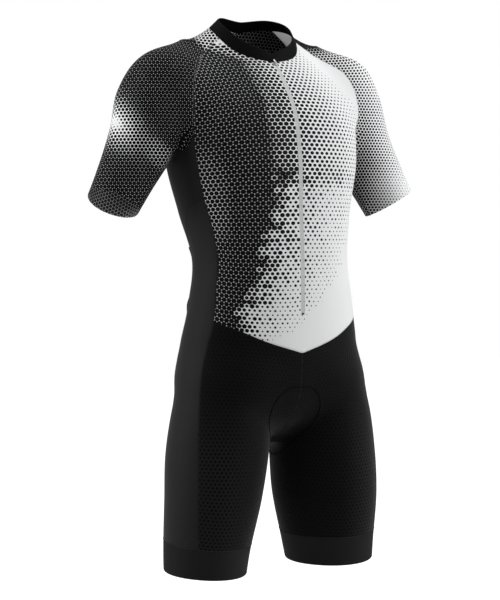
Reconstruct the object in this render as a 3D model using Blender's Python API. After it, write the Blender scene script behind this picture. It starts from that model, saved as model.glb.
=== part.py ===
"""Short-sleeved, short-legged triathlon suit, filled out as on a wearer, with its front zip closed.

The cloth follows one body surface, worked out from short tables of sections. Seam lines are smooth
curves laid on that surface, and every panel is a wall between its seams. Metres, +Z up, the wearer
faces -Y, and the origin is on the shoulder line at the middle of the neck.
"""

import bmesh
import bpy
import numpy as np

# ---------------------------------------------------------------- driving dimensions
WALL = 0.0016  # cloth thickness
SEAM_GAP = 0.0003  # between neighbouring pieces
COLLAR_WALL = 0.0022
ZIP_WIDTH = 0.0051  # strip that shows between the fronts
ZIP_END_HEIGHT = -0.473
ZIP_CLOSE = 0.003  # length over which the fronts close under the zip
PAD_THICKNESS = 0.005
SLIDER_WIDTH = 0.0056
SLIDER_LENGTH = 0.0084
SLIDER_TOP = 0.0022  # above the zip strip
SLIDER_DROP = 0.0052  # of its middle, below the zip's upper end
BRIDGE_REACH = 0.0027  # of the arch over the slider, from its middle
BRIDGE_TOP = 0.0051
BRIDGE_BAR = 0.0008
BRIDGE_WIDTH = 0.0015
HINGE_HEIGHT = 0.00325  # of the pull tab's axis above the zip strip
PULL_LEAN = np.radians(47.5)  # back from upright, resting on the collar
PULL_THICKNESS = 0.0009
PULL_RING_WIDTH = 0.0038
PULL_RING_END = 0.0042
PULL_WINDOW_WIDTH = 0.0021
PULL_WINDOW_END = 0.00365
PULL_TAB_WIDTH = 0.0026
PULL_LENGTH = 0.0092
STOP_WIDTH = 0.0044
STOP_LENGTH = 0.0026
STOP_HEIGHT = 0.0014
PAD_CLEARANCE = 0.0047
POCKET_TOP_HEIGHT = -0.365
POCKET_MOUTH_GAP = 0.0035  # where the pocket stands off the back, at its mouth and above its foot
POCKET_FOOT_GAP = 0.0060
SHOULDER_BLEND = 0.055
ARMPIT_BLEND = 0.006
ARMPIT_RANGE = (-0.11, -0.18)  # heights between which the fillet goes from shoulder to armpit
LEG_BLEND = 0.035
NECK_BLEND = 0.030

# Trunk: horizontal sections, from the neck down to the crotch.
# height, half width, front depth, back depth, middle's y, squareness
TRUNK = np.array((
    (0.060, 0.020, 0.020, 0.020, 0.010, 2.0),
    (0.000, 0.113, 0.0465, 0.050, 0.005, 2.0),
    (-0.060, 0.155, 0.081, 0.091, -0.020, 2.1),
    (-0.120, 0.175, 0.110, 0.112, -0.033, 2.3),
    (-0.200, 0.178, 0.127, 0.114, -0.035, 2.4),
    (-0.300, 0.159, 0.120, 0.107, -0.046, 2.3),
    (-0.385, 0.146, 0.105, 0.096, -0.066, 2.2),
    (-0.470, 0.157, 0.104, 0.099, -0.068, 2.2),
    (-0.560, 0.167, 0.107, 0.112, -0.063, 2.2),
    (-0.615, 0.148, 0.095, 0.116, -0.068, 2.2),
    (-0.660, 0.088, 0.067, 0.093, -0.068, 2.0),
    (-0.698, 0.020, 0.020, 0.040, -0.060, 2.0),
))
# Right leg: horizontal sections. height, middle's x, middle's y, half of the short side, half of the long side
LEG = np.array((
    (-0.490, -0.070, -0.066, 0.0200, 0.0200),
    (-0.560, -0.085, -0.070, 0.0805, 0.0780),
    (-0.640, -0.100, -0.068, 0.0865, 0.0920),
    (-0.720, -0.110, -0.068, 0.0900, 0.0955),
    (-0.800, -0.117, -0.066, 0.0850, 0.0955),
    (-0.900, -0.128, -0.061, 0.0750, 0.0830),
    (-1.000, -0.135, -0.064, 0.0670, 0.0700),
))
LEG_TURN = np.radians(40.0)  # of the short side, from across the body towards the front
LEG_SQUARENESS = 2.1
# Right arm: sections across the line from shoulder to hand. distance along it, half of the short side,
# half of the long side
SHOULDER = np.array((-0.179, -0.007, -0.095))
HAND = np.array((-0.305, -0.026, -0.312))
ARM = np.array((
    (-0.10, 0.0120, 0.0150),
    (-0.04, 0.0630, 0.0710),
    (0.03, 0.0760, 0.0745),
    (0.10, 0.0600, 0.0590),
    (0.20, 0.0470, 0.0500),
    (0.32, 0.0420, 0.0450),
))
ARM_TURN = np.radians(-35.0)  # of the short side, from across the arm towards the front
ARM_SQUARENESS = 2.1
# Neck: sections across its leaning axis. distance along it, half width, front depth, back depth
NECK_FOOT = np.array((0.0, -0.010, -0.001))
NECK_LEAN = np.radians(20.0)
NECK = np.array((
    (-0.10, 0.079, 0.060, 0.040),
    (-0.02, 0.090, 0.046, 0.040),
    (0.03, 0.057, 0.051, 0.062),
    (0.10, 0.058, 0.048, 0.045),
))
# Collar rings, by the angle from the centre front: angle, height of the lower edge, height of the upper edge
COLLAR = np.array((
    (0.0, -0.0410, -0.0220),
    (45.0, -0.0240, -0.0010),
    (90.0, 0.0155, 0.0310),
    (135.0, 0.0305, 0.0450),
    (180.0, 0.0225, 0.0410),
))
# half width, front depth, back depth, middle's y
COLLAR_LOWER = (0.0830, 0.0675, 0.0615, -0.0095)
COLLAR_UPPER = (0.0702, 0.0572, 0.0490, -0.0160)

# Where the raglan seams of the right side leave the collar, as angles from the centre front.
RAGLAN_FRONT_ANGLE = 75.0
RAGLAN_BACK_ANGLE = 128.0
# Where the seams of the right leg meet its rings, as angles from +X, seen from above.
INSEAM_ANGLE = 38.0
SIDE_FRONT_ANGLE = -131.0
SIDE_BACK_ANGLE = -232.0
# Leg rings: height at the leg's middle, rise per metre outwards, rise per metre backwards
LEG_RINGS = {"band": (-0.8735, 0.05, 0.06), "hem": (-0.9265, 0.04, 0.05)}
CUFF_DISTANCE = 0.221
CUFF_NORMAL = np.array((-0.46, -0.20, -0.865))
UNDERARM_ANGLE = 0.0

# Seam lines of the right side: x, y, z of the points they pass, before they settle on the body.
RAGLAN_FRONT = (
    (-0.093, -0.029, -0.004),
    (-0.127, -0.050, -0.025),
    (-0.154, -0.074, -0.051),
    (-0.166, -0.087, -0.080),
    (-0.171, -0.095, -0.120),
)
ARMHOLE_FRONT_TOP = (-0.172, -0.093, -0.154)
ARMHOLE_FRONT = ((-0.175, -0.083, -0.182), (-0.187, -0.064, -0.200))
UNDERARM = (-0.196, -0.030, -0.204)
RAGLAN_BACK = (
    (-0.098, 0.030, 0.000),
    (-0.130, 0.042, -0.034),
    (-0.152, 0.052, -0.074),
    (-0.163, 0.052, -0.115),
)
ARMHOLE_BACK_TOP = (-0.170, 0.042, -0.155)
ARMHOLE_BACK = ((-0.176, 0.025, -0.184), (-0.184, 0.005, -0.200))
SIDE_FRONT_UPPER = ((-0.166, -0.091, -0.190), (-0.162, -0.095, -0.230))
ARC_FRONT = (-0.153, -0.097, -0.276)
SIDE_FRONT_MIDDLE = ((-0.141, -0.105, -0.325), (-0.134, -0.112, -0.385), (-0.139, -0.114, -0.431))
WAIST_FRONT_SIDE = (-0.145, -0.116, -0.487)
SIDE_FRONT_LOWER = (
    (-0.161, -0.111, -0.547),
    (-0.171, -0.115, -0.605),
    (-0.179, -0.124, -0.676),
    (-0.183, -0.130, -0.773),
)
SIDE_BACK_UPPER = ((-0.168, 0.036, -0.220), (-0.152, 0.030, -0.290), (-0.137, 0.010, -0.350))
ARC_BACK = (-0.134, 0.000, -0.405)
SIDE_BACK_MIDDLE = ((-0.136, 0.004, -0.450),)
WAIST_BACK_SIDE = (-0.142, 0.008, -0.490)
SIDE_BACK_LOWER = (
    (-0.156, 0.014, -0.560),
    (-0.166, 0.010, -0.630),
    (-0.168, 0.004, -0.700),
    (-0.170, 0.002, -0.790),
)
SIDE_ARC = (
    (-0.158, -0.078, -0.281),
    (-0.160, -0.060, -0.290),
    (-0.158, -0.045, -0.306),
    (-0.153, -0.036, -0.330),
    (-0.144, -0.020, -0.370),
)
WAIST_FRONT = ((-0.112, -0.147, -0.502), (-0.072, -0.163, -0.520))
WAIST_POINT = (0.0, -0.170, -0.543)
WAIST_BACK = ((-0.105, 0.030, -0.487), (-0.055, 0.040, -0.484))
WAIST_BACK_MIDDLE = (0.0, 0.042, -0.482)
CENTRE_FRONT = ((0.0, -0.169, -0.584), (0.0, -0.163, -0.622), (0.0, -0.148, -0.658), (0.0, -0.115, -0.690))
CROTCH = (0.0, -0.045, -0.705)
CENTRE_BACK = ((0.0, 0.050, -0.540), (0.0, 0.052, -0.600), (0.0, 0.040, -0.650), (0.0, 0.005, -0.690))
INSEAM = ((-0.014, -0.038, -0.720), (-0.030, -0.026, -0.755), (-0.044, -0.014, -0.810))
# Lines down the sleeve that keep its wall round: along its front, its outer side and its back.
SLEEVE_FRONT = (
    (-0.120, -0.030, -0.010),
    (-0.160, -0.050, -0.035),
    (-0.195, -0.072, -0.080),
    (-0.215, -0.083, -0.140),
    (-0.250, -0.085, -0.205),
)
SLEEVE_CROWN = (
    (-0.130, 0.000, -0.005),
    (-0.175, 0.000, -0.030),
    (-0.225, -0.005, -0.075),
    (-0.262, -0.012, -0.140),
    (-0.300, -0.020, -0.210),
)
SLEEVE_BACK = (
    (-0.115, 0.025, -0.005),
    (-0.155, 0.045, -0.035),
    (-0.195, 0.060, -0.080),
    (-0.220, 0.055, -0.140),
    (-0.255, 0.040, -0.205),
)
# Seat pad, by its share of the way from front to back: share, half width
PAD_SHAPE = np.array((
    (0.00, 0.0000),
    (0.03, 0.0300),
    (0.07, 0.0440),
    (0.15, 0.0555),
    (0.21, 0.0540),
    (0.30, 0.0390),
    (0.42, 0.0290),
    (0.55, 0.0390),
    (0.70, 0.0560),
    (0.85, 0.0600),
    (0.96, 0.0420),
    (1.00, 0.0000),
))
PAD_LINE = (
    (0.0, -0.169, -0.602),
    (0.0, -0.152, -0.652),
    (0.0, -0.115, -0.690),
    (0.0, -0.064, -0.712),
    (0.0, -0.005, -0.695),
    (0.0, 0.030, -0.665),
    (0.0, 0.048, -0.620),
)

# How many stretches each seam is divided into, the same for the two panels that it joins.
RAGLAN_STEPS = 9
ARMHOLE_STEPS = 3
UNDERARM_STEPS = 4
SIDE_UPPER_STEPS = 6
SIDE_FRONT_MIDDLE_STEPS = 5
SIDE_FRONT_LOWER_STEPS = 14
SIDE_BACK_MIDDLE_STEPS = 3
SIDE_BACK_LOWER_STEPS = 16
FRONT_ACROSS = 7
BACK_ACROSS = 12
SLEEVE_ACROSS = 16
SLEEVE_TOP_STEPS = 4
CENTRE_FRONT_STEPS = 9
CENTRE_BACK_STEPS = 11
INSEAM_STEPS = 5
BAND_STEPS = 2
COLLAR_STEPS = 2
PAD_STEPS = (16, 6)

# name: colour, roughness, metallic
MATERIALS = {
    "black_knit": ((0.020, 0.020, 0.022), 0.62, 0.0),
    "dimpled_knit": ((0.012, 0.012, 0.013), 0.60, 0.0),
    "collar_knit": ((0.008, 0.008, 0.009), 0.65, 0.0),
    "printed_knit": ((0.62, 0.62, 0.62), 0.55, 0.0),
    "pad_foam": ((0.03, 0.03, 0.03), 0.80, 0.0),
    "zip_tape": ((0.58, 0.58, 0.58), 0.50, 0.0),
    "zip_metal": ((0.72, 0.72, 0.72), 0.25, 1.0),
    "zip_plastic": ((0.01, 0.01, 0.01), 0.40, 0.0),
}


# ---------------------------------------------------------------- the body surface
def column(at, where, values):
    """Reads one column of a table at any place, on a smooth curve through its rows."""
    order = np.argsort(where)
    x, y = where[order], values[order]
    slope = np.gradient(y, x)
    at = np.clip(at, x[0], x[-1])
    low = np.clip(np.searchsorted(x, at) - 1, 0, len(x) - 2)
    step = x[low + 1] - x[low]
    t = (at - x[low]) / step
    start = (2 * t**3 - 3 * t**2 + 1) * y[low] + (t**3 - 2 * t**2 + t) * step * slope[low]
    end = (3 * t**2 - 2 * t**3) * y[low + 1] + (t**3 - t**2) * step * slope[low + 1]
    return start + end


def ring_distance(u, v, half_u, half_v, squareness):
    """Distance outside a superellipse, measured along the line from its middle."""
    scaled = (np.abs(u / half_u) ** squareness + np.abs(v / half_v) ** squareness) ** (1 / squareness)
    reach = np.hypot(u, v)
    return np.where(scaled > 1e-9, reach - reach / np.maximum(scaled, 1e-9), -np.minimum(half_u, half_v))


def capped(distance, beyond):
    """Rounds off a tube where it goes beyond its first section."""
    return np.where(beyond > 0, np.hypot(np.maximum(distance, 0), beyond), distance)


def blended(first, second, width):
    """Joins two shapes with a fillet."""
    share = np.clip(0.5 + 0.5 * (second - first) / width, 0, 1)
    return second * (1 - share) + first * share - width * share * (1 - share)


def turned(u, v, turn):
    return u * np.cos(turn) - v * np.sin(turn), u * np.sin(turn) + v * np.cos(turn)


def trunk_distance(p):
    z = p[..., 2]
    half, front, back, middle, squareness = (column(z, TRUNK[:, 0], TRUNK[:, i]) for i in range(1, 6))
    y = p[..., 1] - middle
    distance = ring_distance(p[..., 0], y, half, np.where(y < 0, front, back), squareness)
    return capped(distance, np.maximum(z - TRUNK[0, 0], TRUNK[-1, 0] - z))


def leg_distance(p, side):
    z = p[..., 2]
    x_middle, y_middle, half, deep = (column(z, LEG[:, 0], LEG[:, i]) for i in range(1, 5))
    u, v = turned(p[..., 0] * -side - x_middle, p[..., 1] - y_middle, LEG_TURN)
    distance = ring_distance(u, v, half, deep, LEG_SQUARENESS)
    return capped(distance, z - LEG[0, 0])


def arm_axes():
    along = (HAND - SHOULDER) / np.linalg.norm(HAND - SHOULDER)
    across = np.cross(along, (0.0, 1.0, 0.0))
    across /= np.linalg.norm(across)
    return along, across, np.cross(along, across)


def arm_distance(p, side):
    along, across, deep = arm_axes()
    rel = p * (-side, 1.0, 1.0) - SHOULDER
    s = rel @ along
    half, depth = (column(s, ARM[:, 0], ARM[:, i]) for i in (1, 2))
    u, v = turned(rel @ across, rel @ deep, ARM_TURN)
    distance = ring_distance(u, v, half, depth, ARM_SQUARENESS)
    return capped(distance, ARM[0, 0] - s)


def neck_distance(p):
    up = np.array((0.0, -np.sin(NECK_LEAN), np.cos(NECK_LEAN)))
    backward = np.array((0.0, np.cos(NECK_LEAN), np.sin(NECK_LEAN)))
    rel = p - NECK_FOOT
    s = rel @ up
    half, front, back = (column(s, NECK[:, 0], NECK[:, i]) for i in (1, 2, 3))
    v = rel @ backward
    distance = ring_distance(rel[..., 0], v, half, np.where(v < 0, front, back), 2.0)
    return capped(distance, NECK[0, 0] - s)


def body_distance(p):
    """Signed distance to the outer face of the cloth, near enough to settle points on it."""
    legs = blended(leg_distance(p, -1), leg_distance(p, 1), LEG_BLEND)
    arms = np.minimum(arm_distance(p, -1), arm_distance(p, 1))
    distance = blended(trunk_distance(p), legs, LEG_BLEND)
    share = np.clip((p[..., 2] - ARMPIT_RANGE[0]) / (ARMPIT_RANGE[1] - ARMPIT_RANGE[0]), 0, 1)
    share = share**2 * (3 - 2 * share)
    distance = blended(distance, arms, SHOULDER_BLEND + (ARMPIT_BLEND - SHOULDER_BLEND) * share)
    return blended(distance, neck_distance(p), NECK_BLEND)


def slope_at(p, step=2e-4):
    offsets = np.eye(3) * step
    return np.stack([body_distance(p + o) - body_distance(p - o) for o in offsets], -1) / (2 * step)


def normals_at(p):
    slope = slope_at(p)
    return slope / np.linalg.norm(slope, axis=-1, keepdims=True)


def settled(p, rounds=6):
    """Moves points onto the body surface along its slope."""
    p = np.array(p, float)
    for _ in range(rounds):
        slope = slope_at(p)
        p -= body_distance(p)[..., None] * slope / np.maximum((slope**2).sum(-1, keepdims=True), 0.05)
    return p


# ---------------------------------------------------------------- seam lines
def resampled(points, steps):
    """The same line with its points at equal distances."""
    reach = np.concatenate(([0.0], np.cumsum(np.linalg.norm(np.diff(points, axis=0), axis=1))))
    at = np.linspace(0.0, reach[-1], steps + 1)
    return np.stack([np.interp(at, reach, points[:, i]) for i in range(3)], -1)


def smooth_line(points, fine=24):
    """A smooth curve through the points."""
    points = np.array(points, float)
    at = np.concatenate(([0.0], np.cumsum(np.linalg.norm(np.diff(points, axis=0), axis=1))))
    where = np.interp(np.arange(fine * (len(points) - 1) + 1) / fine, np.arange(len(points)), at)
    return np.stack([column(where, at, points[:, i]) for i in range(3)], -1)


def seam(points, *steps_and_stops):
    """A smooth line on the body through the points, divided into equal stretches between its stops.

    steps_and_stops alternates the steps up to a stop with the stop's place in the list of points."""
    fine = 24
    line = settled(smooth_line(points, fine))
    parts = []
    start = 0
    for steps, stop in zip(steps_and_stops[::2], steps_and_stops[1::2]):
        end = stop * fine
        parts.append(resampled(line[start : end + 1], steps))
        start = end
    return [settled(part) for part in parts]


def joined(*lines):
    return np.concatenate([lines[0]] + [line[1:] for line in lines[1:]])


def mirrored(points):
    return np.array(points) * (-1.0, 1.0, 1.0)


def collar_ring(angles, sizes, heights):
    """Points of a collar edge at angles from the centre front, positive to the wearer's left."""
    half, front, back, middle = sizes
    turn = np.radians(angles)
    facing = np.cos(turn)
    height = column(np.abs(angles), COLLAR[:, 0], heights)
    return np.stack([half * np.sin(turn), middle - np.where(facing > 0, front, back) * facing, height], -1)


def neck_edge(start, end, steps):
    """The panels' edge under the collar, between two angles."""
    return settled(collar_ring(np.linspace(start, end, steps + 1), COLLAR_LOWER, COLLAR[:, 1]))


def reach_out(middle, directions, furthest=0.16):
    """From a middle inside the body, the points where the directions meet its surface."""
    low, high = np.zeros(len(directions)), np.full(len(directions), furthest)
    for _ in range(40):
        half = (low + high) / 2
        inside = body_distance(middle + directions * half[:, None]) < 0
        low, high = np.where(inside, half, low), np.where(inside, high, half)
    return middle + directions * low[:, None]


def leg_ring(name, start, end, steps):
    """Part of the right leg's ring of that name, between two angles seen from above."""
    height, outward_rise, backward_rise = LEG_RINGS[name]
    x, y = (column(np.array(height), LEG[:, 0], LEG[:, i]) for i in (1, 2))
    turn = np.radians(np.linspace(start, end, steps + 1))
    rise = -outward_rise * np.cos(turn) + backward_rise * np.sin(turn)
    directions = np.stack([np.cos(turn), np.sin(turn), rise], -1)
    return reach_out(np.array((x, y, height)), directions)


def cuff_ring(start, end, steps):
    """Part of the right sleeve's end, by angles from the underarm, turning over the front."""
    along, across, deep = arm_axes()
    normal = CUFF_NORMAL / np.linalg.norm(CUFF_NORMAL)
    middle = SHOULDER + along * CUFF_DISTANCE
    inward = across - normal * (across @ normal)
    inward *= np.sign(inward[0]) / np.linalg.norm(inward)
    forward = np.cross(inward, normal)
    forward *= -np.sign(forward[1])
    turn = np.radians(np.linspace(start, end, steps + 1))
    return reach_out(middle, np.cos(turn)[:, None] * inward + np.sin(turn)[:, None] * forward)


def through(line, places):
    """Reads a line of points at the places, counted in its own stretches."""
    whole = np.arange(len(line))
    return np.stack([np.interp(places, whole, line[:, i]) for i in range(3)], -1)


# ---------------------------------------------------------------- panels
def patch(top, bottom, left, right, guides=(), rounds=60):
    """A grid on the body between four seams, rows from top to bottom and columns from left to right.

    guides are lines from top to bottom that the rows pass on their way, evenly spaced."""
    rows, columns = len(left), len(top)
    v = np.linspace(0, 1, rows)[:, None, None]
    u = np.linspace(0, 1, columns)[None, :, None]
    if guides:
        lines = np.stack([left, *guides, right], 1)
        at = np.linspace(0, 1, lines.shape[1])
        grid = np.stack([[column(u[0, :, 0], at, row[:, i]) for i in range(3)] for row in lines])
        grid = np.moveaxis(grid, 1, 2)
    else:
        corners = (1 - u) * (1 - v) * top[0] + u * (1 - v) * top[-1]
        corners = corners + (1 - u) * v * bottom[0] + u * v * bottom[-1]
        grid = (1 - v) * top[None] + v * bottom[None] + (1 - u) * left[:, None] + u * right[:, None] - corners
    grid[0], grid[-1], grid[:, 0], grid[:, -1] = top, bottom, left, right
    grid[1:-1, 1:-1] = settled(grid[1:-1, 1:-1], 12)
    for _ in range(rounds):
        around = grid[:-2, 1:-1] + grid[2:, 1:-1] + grid[1:-1, :-2] + grid[1:-1, 2:]
        grid[1:-1, 1:-1] = settled(around / 4, 2)
    grid[1:-1, 1:-1] = settled(grid[1:-1, 1:-1])
    return grid


def inset_edges(grid, normals, sides, gap):
    """Draws the named sides of a grid in by half the seam gap, square to their own lines."""
    moved = grid.copy()
    edge_of = {"top": (0, slice(None)), "bottom": (-1, slice(None)), "left": (slice(None), 0), "right": (slice(None), -1)}
    inner_of = {"top": (1, slice(None)), "bottom": (-2, slice(None)), "left": (slice(None), 1), "right": (slice(None), -2)}
    for name in sides:
        line, inner = grid[edge_of[name]], grid[inner_of[name]]
        stretch = np.diff(line, axis=0)
        stretch /= np.linalg.norm(stretch, axis=1, keepdims=True)
        before = np.concatenate((stretch[:1], stretch))
        after = np.concatenate((stretch, stretch[-1:]))
        normal = normals[edge_of[name]]
        inward_before, inward_after = np.cross(before, normal), np.cross(after, normal)
        inward = inward_before + inward_after
        inward /= 1 + np.clip((inward_before * inward_after).sum(-1, keepdims=True), -0.6, 1)
        middle = len(line) // 2
        if (inward[middle] * (inner - line)[middle]).sum() < 0:
            inward = -inward
        moved[edge_of[name]] += inward * gap / 2
    return moved


def new_object(name, points, faces, material):
    mesh = bpy.data.meshes.new(name)
    built = bmesh.new()
    vertices = [built.verts.new(p) for p in points]
    for face in faces:
        built.faces.new([vertices[i] for i in face])
    bmesh.ops.recalc_face_normals(built, faces=built.faces)
    built.to_mesh(mesh)
    built.free()
    mesh.shade_smooth()
    mesh.set_sharp_from_angle(angle=np.radians(50))
    mesh.materials.append(materials[material])
    made = bpy.data.objects.new(name, mesh)
    bpy.context.scene.collection.objects.link(made)
    return made


def wall_object(name, outer, inner, material, closed=False):
    """A closed wall between two grids of the same size. closed joins its last column to its first."""
    rows, columns = outer.shape[:2]
    points = np.concatenate((outer.reshape(-1, 3), inner.reshape(-1, 3)))
    below = rows * columns
    last = columns if closed else columns - 1
    a = (np.arange(rows - 1)[:, None] * columns + np.arange(last)).reshape(-1)
    b = (np.arange(rows - 1)[:, None] * columns + (np.arange(last) + 1) % columns).reshape(-1)
    c, d = b + columns, a + columns
    off = [np.abs(body_distance((points[p] + points[q]) / 2)) for p, q in ((a, c), (b, d))]
    turned_back = (off[1] < off[0])[:, None]
    halves = np.where(turned_back, np.stack((a, b, d, b, c, d), 1), np.stack((a, b, c, a, c, d), 1)).reshape(-1, 3)
    faces = [tuple(f) for f in np.concatenate((halves, halves[:, ::-1] + below)).tolist()]
    rims = [(row + j, row + (j + 1) % columns) for j in range(last) for row in (0, (rows - 1) * columns)]
    if not closed:
        rims += [(i * columns + j, (i + 1) * columns + j) for i in range(rows - 1) for j in (0, columns - 1)]
    for a, b in rims:
        faces.append((a, b, b + below))
        faces.append((a, b + below, a + below))
    return new_object(name, points, faces, material)


def panel(name, grid, material, sides=("top", "bottom", "left", "right"), wall=WALL):
    """A cloth wall under a grid, drawn in at the seams."""
    normals = normals_at(grid)
    outer = inset_edges(grid, normals, sides, SEAM_GAP)
    return wall_object(name, outer, outer - normals * wall, material)


# ---------------------------------------------------------------- seams of the right side
def right_seams():
    """Every seam of the right side, by name."""
    s = {}
    neck_front = neck_edge(0.0, -RAGLAN_FRONT_ANGLE, FRONT_ACROSS)
    neck_sleeve = neck_edge(-RAGLAN_FRONT_ANGLE, -RAGLAN_BACK_ANGLE, SLEEVE_TOP_STEPS)
    s["neck_sleeve"] = neck_sleeve
    s["cuff"] = cuff_ring(UNDERARM_ANGLE, UNDERARM_ANGLE + 360.0, SLEEVE_ACROSS)
    s["band_front"] = leg_ring("band", SIDE_FRONT_ANGLE, INSEAM_ANGLE, FRONT_ACROSS)
    s["band_back"] = leg_ring("band", INSEAM_ANGLE - 360.0, SIDE_BACK_ANGLE, BACK_ACROSS // 2)
    s["band_side"] = leg_ring("band", SIDE_BACK_ANGLE, SIDE_FRONT_ANGLE, 2 * ARMHOLE_STEPS)
    front_line = [neck_sleeve[0], *RAGLAN_FRONT, ARMHOLE_FRONT_TOP, *ARMHOLE_FRONT, UNDERARM]
    top = len(RAGLAN_FRONT) + 1
    s["raglan_front"], s["armhole_front"] = seam(
        front_line, RAGLAN_STEPS, top, ARMHOLE_STEPS, len(front_line) - 1
    )
    back_line = [neck_sleeve[-1], *RAGLAN_BACK, ARMHOLE_BACK_TOP, *ARMHOLE_BACK, s["armhole_front"][-1]]
    top = len(RAGLAN_BACK) + 1
    s["raglan_back"], s["armhole_back"] = seam(
        back_line, RAGLAN_STEPS, top, ARMHOLE_STEPS, len(back_line) - 1
    )
    underarm = s["armhole_front"][-1]
    s["armhole_back"][-1] = underarm
    (s["underarm"],) = seam([underarm, s["cuff"][0]], UNDERARM_STEPS, 1)
    side = [
        s["raglan_front"][-1], *SIDE_FRONT_UPPER, ARC_FRONT, *SIDE_FRONT_MIDDLE, WAIST_FRONT_SIDE,
        *SIDE_FRONT_LOWER, s["band_front"][0],
    ]
    arc = len(SIDE_FRONT_UPPER) + 1
    waist = arc + len(SIDE_FRONT_MIDDLE) + 1
    s["side_front_upper"], s["side_front_middle"], s["side_front_lower"] = seam(
        side, SIDE_UPPER_STEPS, arc, SIDE_FRONT_MIDDLE_STEPS, waist, SIDE_FRONT_LOWER_STEPS, len(side) - 1
    )
    side = [
        s["raglan_back"][-1], *SIDE_BACK_UPPER, ARC_BACK, *SIDE_BACK_MIDDLE, WAIST_BACK_SIDE,
        *SIDE_BACK_LOWER, s["band_back"][-1],
    ]
    arc = len(SIDE_BACK_UPPER) + 1
    waist = arc + len(SIDE_BACK_MIDDLE) + 1
    s["side_back_upper"], s["side_back_middle"], s["side_back_lower"] = seam(
        side, SIDE_UPPER_STEPS, arc, SIDE_BACK_MIDDLE_STEPS, waist, SIDE_BACK_LOWER_STEPS, len(side) - 1
    )
    (s["arc"],) = seam(
        [s["side_front_upper"][-1], *SIDE_ARC, s["side_back_upper"][-1]], 2 * ARMHOLE_STEPS, len(SIDE_ARC) + 1
    )
    (s["waist_front"],) = seam(
        [WAIST_POINT, *WAIST_FRONT[::-1], s["side_front_middle"][-1]], FRONT_ACROSS, len(WAIST_FRONT) + 1
    )
    (s["waist_back"],) = seam(
        [s["side_back_middle"][-1], *WAIST_BACK, WAIST_BACK_MIDDLE], BACK_ACROSS // 2, len(WAIST_BACK) + 1
    )
    point, middle = s["waist_front"][0], s["waist_back"][-1]
    (s["centre_front"],) = seam([point, *CENTRE_FRONT, CROTCH], CENTRE_FRONT_STEPS, len(CENTRE_FRONT) + 1)
    crotch = s["centre_front"][-1]
    (s["centre_back"],) = seam([middle, *CENTRE_BACK, crotch], CENTRE_BACK_STEPS, len(CENTRE_BACK) + 1)
    (s["inseam"],) = seam([crotch, *INSEAM, s["band_front"][-1]], INSEAM_STEPS, len(INSEAM) + 1)
    s["band_back"][0] = s["band_front"][-1]
    s["zip"], s["neck_front"] = zip_edge(neck_front, point)
    return s


def zip_edge(neck_front, waist_point):
    """The right front's edge at the zip and below it, and its neck edge cut back to that edge."""
    steps = RAGLAN_STEPS + SIDE_UPPER_STEPS + SIDE_FRONT_MIDDLE_STEPS
    closed_steps = 3
    heights = np.linspace(neck_front[0][2], ZIP_END_HEIGHT, 60)
    front = settled(np.stack([0 * heights, column(heights, TRUNK[:, 0], -TRUNK[:, 2] + TRUNK[:, 4]), heights], -1))
    open_part = resampled(front, steps - closed_steps - 1)
    heights = np.linspace(ZIP_END_HEIGHT - ZIP_CLOSE, waist_point[2], 20)
    front = settled(np.stack([0 * heights, column(heights, TRUNK[:, 0], -TRUNK[:, 2] + TRUNK[:, 4]), heights], -1))
    closed_part = resampled(front, closed_steps)
    closed_part[-1] = waist_point
    open_part[0] = neck_front[0]
    open_part[:, 0] = -ZIP_WIDTH / 2
    neck = neck_front.copy()
    neck[0] = open_part[0]
    return np.concatenate((open_part, closed_part)), neck


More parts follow.
